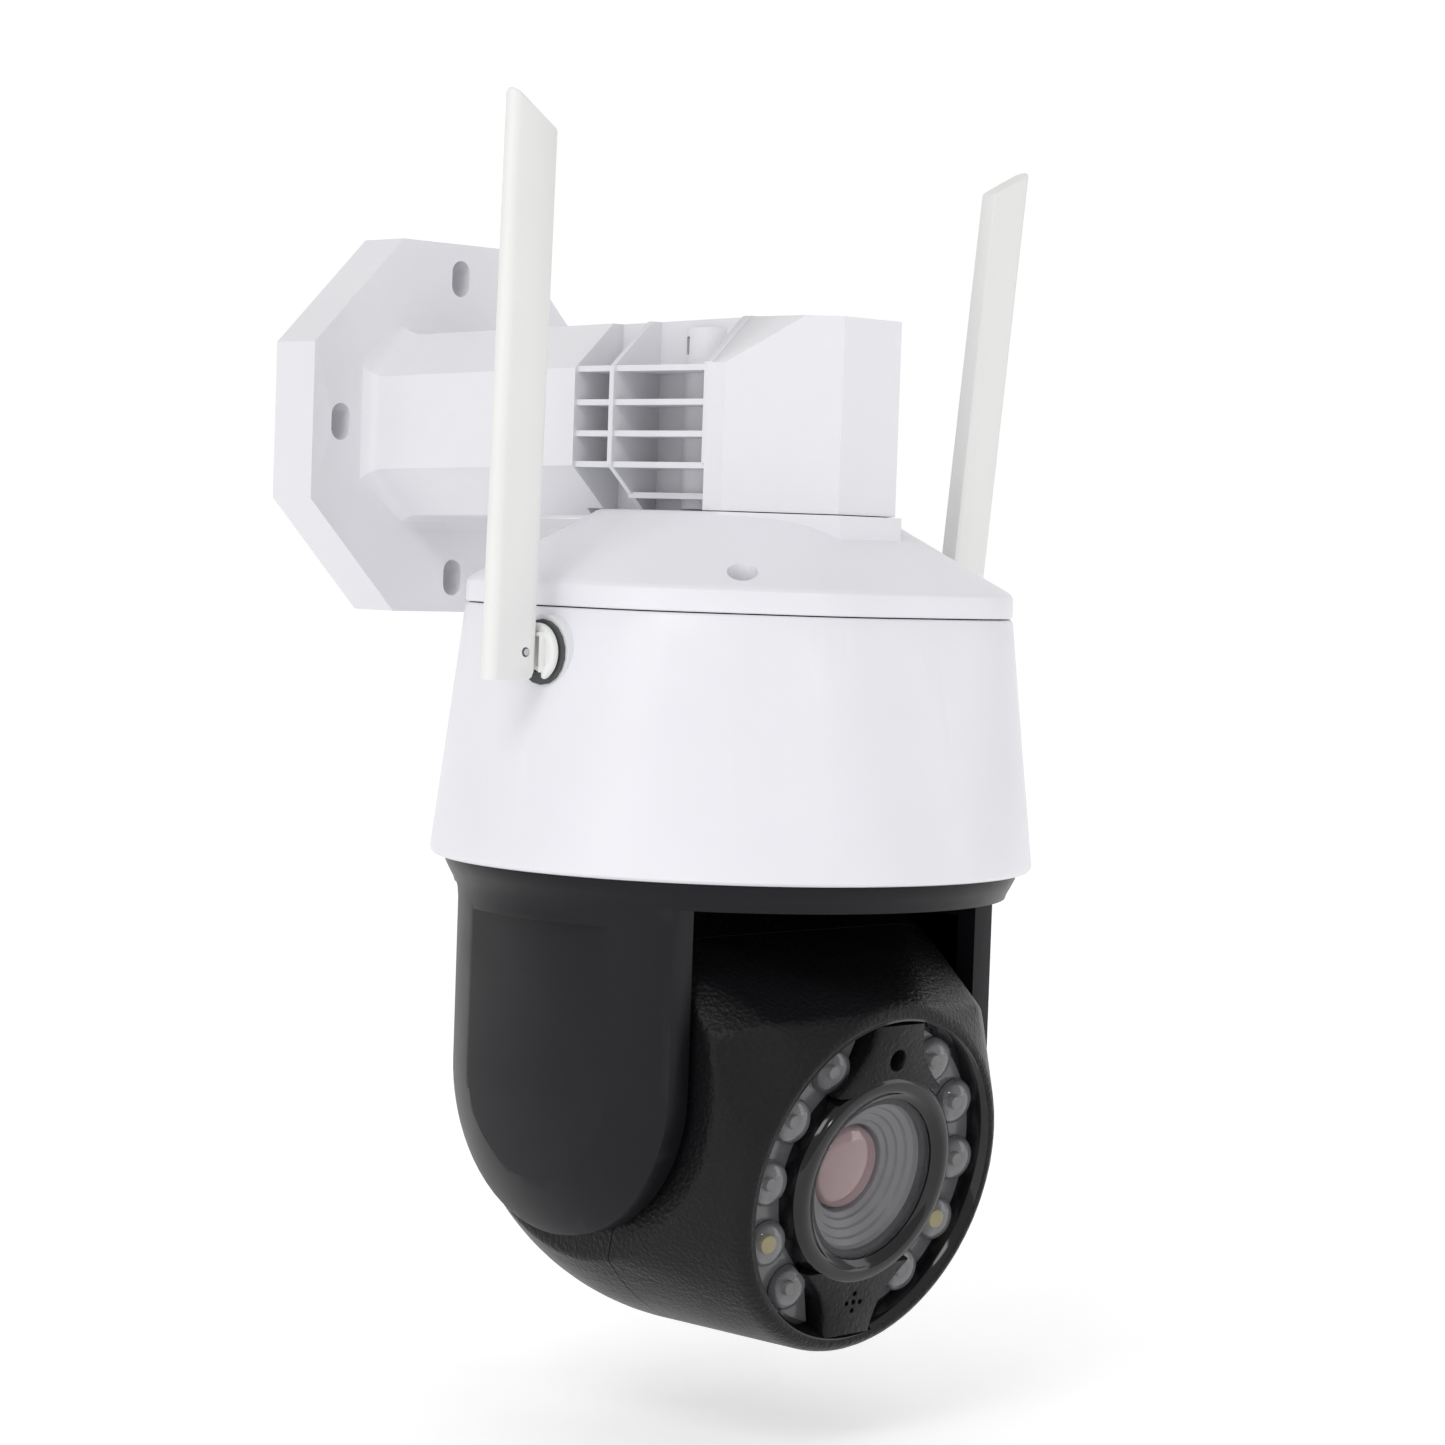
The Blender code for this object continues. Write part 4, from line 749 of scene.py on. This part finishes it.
def make_face(look, paints):
    """Bars and ring of the face, the polished rims and the ring round the lens."""
    ring = [
        (20.5, -10), (30.0, -10), (30.0, -5.0), (29.7, -3.2), (29.0, -1.5), (28.4, -0.75), (27.6, -0.3),
        (26.6, -0.12), (25.6, -0.14), (25.0, -0.35), (24.4, -0.9), (23.6, -1.5), (22.8, -1.9), (22.7, -3.0),
        (20.5, -3.0),
    ]
    bars = []
    for sign in (1, -1):
        rows = [(-9.9, 0.0), (-2.6, 0.0), (-1.5, -0.25), (-0.8, -0.75), (-0.45, -1.4)]
        bars.append(loft([[(u, v, w * MM) for u, v in strip_outline(sign, grow)] for w, grow in rows]))
    cuts = [rod(2.6 * MM, -8 * MM, 2 * MM, 40, Matrix.Translation((0, 33.6 * MM, 0)))]
    sink = [(0, -1.6 * MM), (2.6 * MM, -1.6 * MM), (3.3 * MM, 0.2 * MM), (0, 0.2 * MM)]
    cuts.append(lathe(sink, 40, Matrix.Translation((0, 33.6 * MM, 0))))
    for u, v in ((0, -34.2), (-2.6, -34.4), (2.6, -34.4), (0, -31.8), (0, -36.6)):
        cuts.append(rod(0.75 * MM, -8 * MM, 2 * MM, 20, Matrix.Translation((u * MM, v * MM, 0))))
    lens_hole = rod(20.6 * MM, -12 * MM, 2 * MM, 96)
    base = lathe([(r * MM, w * MM) for r, w in ring], 128)
    made = combine("face_moulding", base, bars, [lens_hole] + cuts)
    made.data.transform(FACE)
    dress(made, paints["grain"], "head", ["face_plate"], 42)

    wall = [(43.15, -7.0), (43.15, -5.4), (43.5, -4.4), (44.2, -2.7), (44.7, -1.5), (44.95, -0.95)]
    wall.append((44.4, -0.7))
    wall += [(43.9, -1.3), (43.3, -2.6), (42.5, -4.4), (42.1, -5.3), (42.0, -7.0)]
    for side, label in ((-1, "left"), (1, "right")):
        cuts = [box((-0.06, 0.0) if side > 0 else (0.0, 0.06), (-0.06, 0.06), (-0.02, 0.01))]
        for sign in (1, -1):
            cuts.append(loft([[(u, v, w) for u, v in strip_outline(sign, 0.3)] for w in (-0.02, 0.01)]))
        rim = lathe([(r * MM, w * MM) for r, w in wall], 128)
        made = combine(f"bezel_{label}", rim, (), cuts)
        made.data.transform(FACE)
        dress(made, paints["gloss"], "head", (), 45)

    skirt = [(30.2, -7.0), (30.2, -4.9), (29.9, -3.1), (29.2, -1.4), (28.6, -0.55), (27.8, -0.12)]
    skirt.append((26.6, 0.03))
    skirt += [(25.4, 0.0), (24.9, -0.2), (24.3, -0.75), (23.5, -1.35), (22.6, -1.7), (22.6, -2.2)]
    skirt += [(25.0, -0.9), (29.0, -2.4), (29.6, -7.0)]
    made = new_object("lens_ring", lathe([(r * MM, w * MM) for r, w in skirt], 160, FACE))
    dress(made, paints["gloss"], "head", (), 50)


def band_outline(side, outer, inner, start, start_inner, steps=48):
    """C-shaped outline beside the lens ring; start angles are measured from straight up."""
    outline = []
    for i in range(steps + 1):
        angle = radians(start + (180 - 2 * start) * i / steps)
        outline.append((side * outer * sin(angle), outer * cos(angle)))
    for i in range(steps + 1):
        angle = radians(180 - start_inner - (180 - 2 * start_inner) * i / steps)
        outline.append((side * inner * sin(angle), inner * cos(angle)))
    return outline


LED_RING = 36.5
LED_ANGLES = (57.0, 29.5, 2.0, -25.5, -53.0)
WARM_LAMP = 3


def lamp_spots(side, angles=LED_ANGLES, depth=0.0):
    """Places of the lamps on one side of the lens."""
    spots = []
    for angle in angles:
        turn = radians(angle)
        spot = Vector((side * LED_RING * MM * cos(turn), LED_RING * MM * sin(turn), depth))
        spots.append(tuple(FACE @ spot))
    return spots


def make_lamps(look, paints):
    """Lamp panels, cups, chips and clear domes of the lamps; the panels' dark grey is partly the haze of the
    clear lamp window and partly painted reflection over the board.
    """
    face_turn = (radians(90) + TILT_DOWN, 0, 0)
    for side, label in ((-1, "left"), (1, "right")):
        outline = band_outline(side, 42.6 * MM, 30.2 * MM, 14.0, 30.0)
        panel = loft([[(u, v, w) for u, v in outline] for w in (-7.6 * MM, -6.6 * MM)])
        panel.transform(FACE)
        made = new_object(f"lamp_panel_{label}", closed(panel))
        # the panel's dark grey is partly window haze and partly painted reflection of the clear lamp window
        dress(made, paints["smoked"], "head", [f"lamp_window_{label}"], 30)
        dome = [(0, -6.55), (6.25, -6.55), (6.25, -5.6)]
        for i in range(1, 13):
            angle = radians(90 * i / 12)
            dome.append((6.25 * cos(angle), -5.6 + 3.4 * sin(angle)))
        dome[-1] = (0, -2.2)
        shape = lathe([(r * MM, w * MM) for r, w in dome], 40)
        spots = lamp_spots(side)
        domes = repeated(f"lamp_domes_{label}", spots, shape, face_turn, look.lamp_size, paints["dome"])
        dress(domes, paints["dome"], "head", [f"lamp_lenses_{label}"], 40)
        cup = [(0, -6.5), (5.95, -6.5), (6.0, -6.35), (5.3, -6.3), (3.4, -6.42), (0, -6.42)]
        shape = lathe([(r * MM, w * MM) for r, w in cup], 32)
        cups = repeated(f"lamp_cups_{label}", spots, shape, face_turn, look.lamp_size, paints["reflector"])
        dress(cups, paints["reflector"], "head", (), 30)
        die = lathe([(0, -6.4 * MM), (1.7 * MM, -6.4 * MM), (1.5 * MM, -5.2 * MM), (0, -4.9 * MM)], 20)
        cold = [angle for k, angle in enumerate(LED_ANGLES) if k != WARM_LAMP]
        dies = repeated(f"lamp_dies_{label}", lamp_spots(side, cold), die, face_turn, 1.0, paints["emitter"])
        dress(dies, paints["emitter"], "head", (), 30)
        die = lathe([(0, -6.4 * MM), (2.2 * MM, -6.4 * MM), (2.1 * MM, -5.7 * MM), (0, -5.5 * MM)], 20)
        spots = lamp_spots(side, LED_ANGLES[WARM_LAMP : WARM_LAMP + 1])
        warm = repeated(f"lamp_warm_{label}", spots, die, face_turn, 1.0, paints["warm"])
        dress(warm, paints["warm"], "head", (), 30)


def make_optics(look, paints):
    """Stepped lens tube, front element, window and light sensor."""
    tube = [
        (12.3, -13.4), (22.0, -13.4), (22.4, -4.0), (21.6, -3.6), (20.6, -4.4), (20.2, -6.0), (18.6, -6.6),
        (18.3, -7.6), (16.4, -8.1), (16.1, -9.0), (14.2, -9.5), (13.9, -10.4), (12.5, -10.9), (12.3, -11.8),
    ]
    made = new_object("lens_tube", lathe([(r * MM, w * MM) for r, w in tube], 128, FACE))
    rounded(made, 0.15 * MM, 2, 30)
    dress(made, paints["inner"], "head", ["lens_barrel"], 30)
    lens = [(0, -13.6), (11.6, -13.6), (11.6, -12.4)]
    for i in range(1, 20):
        r = 11.6 * (1 - i / 20)
        lens.append((r, -12.4 + 3.4 * sqrt(1 - (r / 11.9) ** 2)))
    lens.append((0, -9.0))
    made = new_object("front_element", lathe([(r * MM, w * MM) for r, w in lens], 96, FACE))
    dress(made, paints["coated"], "head", ["front_lens"], 35)
    pane = [(0, -2.9), (22.5, -2.9), (22.5, -2.1), (22.1, -1.9), (0, -1.9)]
    made = new_object("window_pane", lathe([(r * MM, w * MM) for r, w in pane], 128, FACE))
    dress(made, paints["window"], "head", ["lens_window"], 30)
    eye = [(0, -6.0), (2.2, -6.0), (2.2, -4.8)]
    for i in range(1, 8):
        eye.append((2.2 * cos(radians(90 * i / 8)), -4.8 + 1.4 * sin(radians(90 * i / 8))))
    eye.append((0, -3.4))
    place = FACE @ Matrix.Translation((0, 33.6 * MM, 0))
    made = new_object("light_sensor_eye", lathe([(r * MM, w * MM) for r, w in eye], 32, place))
    dress(made, paints["gloss"], "head", ["light_sensor"], 30)


# ---------------------------------------------------------------- antennas
ANTENNA_Y = -0.1405
ANTENNA_Z = -0.0615
PIN_X = 83.4


def make_antennas(look, paints):
    """Folding blades and the swivels that hold them."""
    for side, label, lean in ((-1, "left", 1.0), (1, "right", 6.5)):
        outboard = Matrix.Rotation(0 if side > 0 else pi, 4, "Z")
        sideways = Matrix.Rotation(radians(90), 4, "Y")
        turned = Matrix.Translation((0, ANTENNA_Y, ANTENNA_Z)) @ outboard @ sideways
        inner = -3.5
        outer = 11.8
        half = 2.8
        corners = [(inner, -half + 0.9), (inner + 0.25, -half + 0.25), (inner + 0.9, -half)]
        for i in range(13):
            angle = radians(-90 + 180 * i / 12)
            corners.append((outer - 2.8 + 2.8 * cos(angle), half * sin(angle)))
        corners += [(inner + 0.9, half), (inner + 0.25, half - 0.25), (inner, half - 0.9)]
        low = -7.4
        width = outer - inner
        foot = [(inner + 2.4 + (x - inner) * (1 - 2.4 / width), y * 0.96, low) for x, y in corners]
        rows = [foot, [(inner + 0.7 + (x - inner) * (1 - 0.7 / width), y, low + 0.9) for x, y in corners]]
        rows.append([(x, y, low + 2.4) for x, y in corners])
        top = 135.2
        slope = 9.0 / width
        for grow, drop in ((0.0, 0.9), (0.35, 0.25), (0.9, 0.0)):
            shrink = 1 - grow / (half * 1.6)
            row = []
            for x, y in corners:
                along = inner + grow * 0.4 + (x - inner) * (1 - grow / width)
                row.append((along, y * shrink, top - drop + (x - inner) * slope))
            rows.append(row)
        blade = loft([[(x * MM, y * MM, z * MM) for x, y, z in row] for row in rows])
        knuckle = box((-6 * MM, 4.4 * MM), (-1.2 * MM, 1.2 * MM), (-12 * MM, 4.4 * MM))
        pin_place = Matrix.Rotation(radians(90), 4, "X")
        made = combine(f"blade_{label}", blade, (), [knuckle, rod(1.3 * MM, -5 * MM, 5 * MM, 24, pin_place)])
        at_pin = Matrix.Translation((side * PIN_X * MM, ANTENNA_Y, ANTENNA_Z))
        made.data.transform(at_pin @ Matrix.Rotation(radians(lean), 4, "Y") @ outboard)
        blade_node = f"antenna_blade_{label}"
        dress(made, paints["antenna"], blade_node, [blade_node], 30)

        profile = [
            (0, 61), (5.1, 61), (5.1, 76.2), (7.4, 76.2), (7.6, 76.4), (7.6, 77.3), (7.3, 77.9), (6.7, 78.1),
            (5.6, 78.1), (5.2, 77.7), (0, 77.7),
        ]
        local = Matrix.Rotation(radians(-90), 4, "Y")
        tongue = [(77.5, 3.4), (PIN_X, 3.4)]
        for i in range(1, 16):
            angle = radians(90 - 11.25 * i)
            tongue.append((PIN_X + 3.4 * cos(angle), 3.4 * sin(angle)))
        tongue += [(PIN_X, -3.4), (77.5, -3.4)]
        slab = loft([[(x * MM, y * MM, z * MM) for x, z in tongue] for y in (-0.9, 0.9)])
        slab.transform(local)
        foot = box((77.2 * MM, 79.2 * MM), (-4 * MM, 4 * MM), (-5.2 * MM, 5.2 * MM), local)
        hole = rod(1.2 * MM, -5 * MM, 5 * MM, 24, local @ Matrix.Translation((PIN_X * MM, 0, 0)) @ pin_place)
        base = lathe([(r * MM, z * MM) for r, z in profile], 64)
        grooves = []
        for near, far in ((0.9 * MM, 3.1 * MM), (-3.1 * MM, -0.9 * MM)):
            grooves.append(box((75.75 * MM, 82 * MM), (near, far), (-9 * MM, 4.2 * MM), local))
        grooves.append(box((75.75 * MM, 82 * MM), (-3.1 * MM, 3.1 * MM), (-9 * MM, -3.8 * MM), local))
        made = combine(f"swivel_{label}", base, [foot, closed(slab)], grooves + [hole])
        made.data.transform(turned)
        rounded(made, 0.22 * MM, 2, 40)
        base_node = f"antenna_base_{label}"
        dress(made, paints["antenna"], f"antenna_swivel_{label}", [base_node], 40)


# ---------------------------------------------------------------- CAD pieces kept as they are
def paint_mechanics(look, paints):
    """Finishes of the pieces inside, which keep their CAD shape."""
    repaint(paints["rubber"], "cover_seal", "cable_sleeve", "antenna_seal_left", "antenna_seal_right")
    repaint(paints["steel"], "bracket_bolt_1", "bracket_bolt_2", "bracket_bolt_3", "pan_bearing", "pan_motor")
    repaint(paints["steel"], "tilt_motor", "tilt_bearing_left", "tilt_bearing_right")
    repaint(paints["steel"], "zoom_motor", "focus_motor")
    repaint(paints["steel"], "antenna_pin_left", "antenna_pin_right")
    repaint(paints["brass"], "antenna_nut_left", "antenna_nut_right", "pan_nut", "pan_pinion", "tilt_pinion")
    repaint(paints["brass"], "focus_group")
    repaint(paints["aluminium"], "camera_chassis", "heat_sink", "zoom_group", "microphone")
    repaint(paints["green"], "main_board", "sensor_board")
    repaint(paints["nylon"], "pan_gear", "tilt_gear", "lamp_board")
    repaint(paints["chip"], "slip_ring")
    repaint(paints["black"], "yoke_cover_left", "yoke_cover_right")
    repaint(paints["dome"], "infrared_filter")


# ---------------------------------------------------------------- studio
def area_light(name, place, target, size, power):
    """Soft rectangular light turned towards a target."""
    data = bpy.data.lights.new(name, "AREA")
    data.shape = "RECTANGLE"
    data.size, data.size_y = size
    data.energy = power
    obj = bpy.data.objects.new(name, data)
    bpy.context.scene.collection.objects.link(obj)
    obj.location = place
    obj.rotation_mode = "QUATERNION"
    obj.rotation_quaternion = (Vector(target) - Vector(place)).to_track_quat("-Z", "Y")
    return obj


def make_stage(look):
    """White surroundings, lights and the camera."""
    scene = bpy.context.scene
    world = bpy.data.worlds.new("studio")
    scene.world = world
    world.use_nodes = True
    world.node_tree.nodes["Background"].inputs["Color"].default_value = (1.0, 1.0, 1.0, 1.0)
    world.node_tree.nodes["Background"].inputs["Strength"].default_value = look.sky
    scene.view_settings.view_transform = "Standard"
    centre = (0, AXIS_Y, -0.08)
    area_light("key", (-1.5, -0.7, 1.2), centre, (0.9, 0.6), look.key)
    area_light("side", (-1.7, -0.1, 0.35), centre, (0.7, 1.2), look.side)
    area_light("right", (1.3, -1.3, 0.3), centre, (0.5, 1.2), look.side)
    area_light("glint", (-0.5, -1.6, 0.45), centre, (0.12, 0.12), look.side * 0.5)

    sweep = [(-3.0, -0.275), (3.2, -0.275)]
    for i in range(1, 13):
        angle = radians(90 * i / 12)
        sweep.append((3.2 + 1.2 * sin(angle), -0.275 + 1.2 * (1 - cos(angle))))
    sweep.append((4.4, 6.0))
    bm = bmesh.new()
    rows = []
    for across in (-6.0, 6.0):
        rows.append([bm.verts.new((0.71 * y + 0.71 * across, 0.7 * y - 0.71 * across, z)) for y, z in sweep])
    for i in range(len(sweep) - 1):
        bm.faces.new((rows[0][i], rows[1][i], rows[1][i + 1], rows[0][i + 1]))
    backdrop = new_object("backdrop", bm)
    backdrop.data.shade_smooth()
    paper = plastic("backdrop_paper", (0.93, 0.93, 0.93), 0.9, 0.004, 0.00001)
    glow = paper.node_tree.nodes["Principled BSDF"]
    glow.inputs["Emission Color"].default_value = (1.0, 1.0, 1.0, 1.0)
    glow.inputs["Emission Strength"].default_value = 0.32
    backdrop.data.materials.append(paper)

    data = bpy.data.cameras.new("camera")
    data.sensor_width = 36.0
    data.lens = look.lens
    camera = bpy.data.objects.new("camera", data)
    scene.collection.objects.link(camera)
    right = Vector((0.70449, -0.70889, 0.0342))
    up = Vector((0.00864, 0.05675, 0.99835))
    ahead = Vector((0.70966, 0.70303, -0.0461))
    axes = Matrix((right, up, -ahead)).transposed()
    camera.matrix_world = Matrix.Translation((-0.7268, -0.8531, -0.0338)) @ axes.to_4x4()
    scene.camera = camera


# ---------------------------------------------------------------- add-on
class PTZCAM_PG_look(bpy.types.PropertyGroup):
    """Sizes and colours of the camera."""

    edge_radius: bpy.props.FloatProperty(
        name="Edge radius", description="Radius on moulded edges", default=0.0005, unit="LENGTH"
    )
    lamp_size: bpy.props.FloatProperty(name="Lamp size", description="Size of the lamp domes", default=1.0)
    body_colour: bpy.props.FloatVectorProperty(
        name="Body colour",
        description="Housing, cover and bracket",
        default=(0.76, 0.76, 0.80),
        subtype="COLOR",
    )
    antenna_colour: bpy.props.FloatVectorProperty(
        name="Antenna colour",
        description="Blades and swivels",
        default=(0.78, 0.78, 0.77),
        subtype="COLOR",
    )
    yoke_colour: bpy.props.FloatVectorProperty(
        name="Fork colour",
        description="Fork around the head",
        default=(0.006, 0.006, 0.008),
        subtype="COLOR",
    )
    head_colour: bpy.props.FloatVectorProperty(
        name="Head colour",
        description="Ball head and lens face",
        default=(0.006, 0.006, 0.007),
        subtype="COLOR",
    )
    # dark grey default: partly the haze of the clear lamp window, partly painted reflection over the board
    panel_colour: bpy.props.FloatVectorProperty(
        name="Lamp panel colour",
        description="Panel behind the lamps",
        default=(0.10, 0.10, 0.105),
        subtype="COLOR",
    )
    lens: bpy.props.FloatProperty(name="Lens", description="Focal length in millimetres", default=92.25)
    sky: bpy.props.FloatProperty(name="Sky", description="Strength of the all-round light", default=0.62)
    key: bpy.props.FloatProperty(name="Key light", description="Power in watts", default=9.0)
    side: bpy.props.FloatProperty(name="Side light", description="Power in watts", default=3.0)


PAINTS = {}


def paints_of(look):
    """The finishes, made once and then shared."""
    if not PAINTS:
        PAINTS.update(make_paints(look))
    return PAINTS


class PTZCAM_OT_bracket(bpy.types.Operator):
    """Builds the wall bracket with its ribs and slots."""

    bl_idname = "ptzcam.bracket"
    bl_label = "Wall bracket"

    def execute(self, context):
        look = context.scene.ptzcam_look
        make_bracket(look, paints_of(look))
        return {"FINISHED"}


class PTZCAM_OT_cover(bpy.types.Operator):
    """Builds the top cover and its screws."""

    bl_idname = "ptzcam.cover"
    bl_label = "Top cover"

    def execute(self, context):
        look = context.scene.ptzcam_look
        make_cover(look, paints_of(look))
        return {"FINISHED"}


class PTZCAM_OT_housing(bpy.types.Operator):
    """Builds the bell housing."""

    bl_idname = "ptzcam.housing"
    bl_label = "Housing"

    def execute(self, context):
        look = context.scene.ptzcam_look
        make_housing(look, paints_of(look))
        return {"FINISHED"}


class PTZCAM_OT_fork(bpy.types.Operator):
    """Builds the fork that carries the head."""

    bl_idname = "ptzcam.fork"
    bl_label = "Fork"

    def execute(self, context):
        look = context.scene.ptzcam_look
        make_fork(look, paints_of(look))
        return {"FINISHED"}


class PTZCAM_OT_head(bpy.types.Operator):
    """Builds the two shells of the ball head."""

    bl_idname = "ptzcam.head"
    bl_label = "Head"

    def execute(self, context):
        look = context.scene.ptzcam_look
        make_head(look, paints_of(look))
        return {"FINISHED"}


class PTZCAM_OT_face(bpy.types.Operator):
    """Builds the lens ring, the bars and the polished bezels."""

    bl_idname = "ptzcam.face"
    bl_label = "Face"

    def execute(self, context):
        look = context.scene.ptzcam_look
        make_face(look, paints_of(look))
        return {"FINISHED"}


class PTZCAM_OT_lamps(bpy.types.Operator):
    """Builds the lamp panels, domes and emitters."""

    bl_idname = "ptzcam.lamps"
    bl_label = "Lamps"

    def execute(self, context):
        look = context.scene.ptzcam_look
        make_lamps(look, paints_of(look))
        return {"FINISHED"}


class PTZCAM_OT_optics(bpy.types.Operator):
    """Builds the lens tube, the elements and the window."""

    bl_idname = "ptzcam.optics"
    bl_label = "Optics"

    def execute(self, context):
        look = context.scene.ptzcam_look
        make_optics(look, paints_of(look))
        return {"FINISHED"}


class PTZCAM_OT_antennas(bpy.types.Operator):
    """Builds both folding antennas."""

    bl_idname = "ptzcam.antennas"
    bl_label = "Antennas"

    def execute(self, context):
        look = context.scene.ptzcam_look
        make_antennas(look, paints_of(look))
        return {"FINISHED"}


class PTZCAM_OT_mechanics(bpy.types.Operator):
    """Paints the mechanics, boards, seals and fasteners."""

    bl_idname = "ptzcam.mechanics"
    bl_label = "Mechanics"

    def execute(self, context):
        look = context.scene.ptzcam_look
        paint_mechanics(look, paints_of(look))
        return {"FINISHED"}


class PTZCAM_OT_stage(bpy.types.Operator):
    """Builds the backdrop, the lights and the camera."""

    bl_idname = "ptzcam.stage"
    bl_label = "Studio"

    def execute(self, context):
        make_stage(context.scene.ptzcam_look)
        return {"FINISHED"}


OPERATORS = (
    PTZCAM_OT_bracket,
    PTZCAM_OT_cover,
    PTZCAM_OT_housing,
    PTZCAM_OT_fork,
    PTZCAM_OT_head,
    PTZCAM_OT_face,
    PTZCAM_OT_lamps,
    PTZCAM_OT_optics,
    PTZCAM_OT_antennas,
    PTZCAM_OT_mechanics,
    PTZCAM_OT_stage,
)


class PTZCAM_PT_panel(bpy.types.Panel):
    """Sidebar panel with the sizes, the colours and one button per group of pieces."""

    bl_label = "PTZ camera"
    bl_idname = "PTZCAM_PT_panel"
    bl_space_type = "VIEW_3D"
    bl_region_type = "UI"
    bl_category = "PTZ camera"

    def draw(self, context):
        look = context.scene.ptzcam_look
        for name in look.bl_rna.properties.keys():
            if name not in {"rna_type", "name"}:
                self.layout.prop(look, name)
        for operator in OPERATORS:
            self.layout.operator(operator.bl_idname)


CLASSES = (PTZCAM_PG_look, *OPERATORS, PTZCAM_PT_panel)


def register():
    for made in CLASSES:
        bpy.utils.register_class(made)
    bpy.types.Scene.ptzcam_look = bpy.props.PointerProperty(type=PTZCAM_PG_look)


def unregister():
    del bpy.types.Scene.ptzcam_look
    for made in reversed(CLASSES):
        bpy.utils.unregister_class(made)


def main():
    register()
    bpy.ops.ptzcam.bracket()
    bpy.ops.ptzcam.cover()
    bpy.ops.ptzcam.housing()
    bpy.ops.ptzcam.fork()
    bpy.ops.ptzcam.head()
    bpy.ops.ptzcam.face()
    bpy.ops.ptzcam.lamps()
    bpy.ops.ptzcam.optics()
    bpy.ops.ptzcam.antennas()
    bpy.ops.ptzcam.mechanics()
    bpy.ops.ptzcam.stage()


if __name__ == "__main__":
    main()
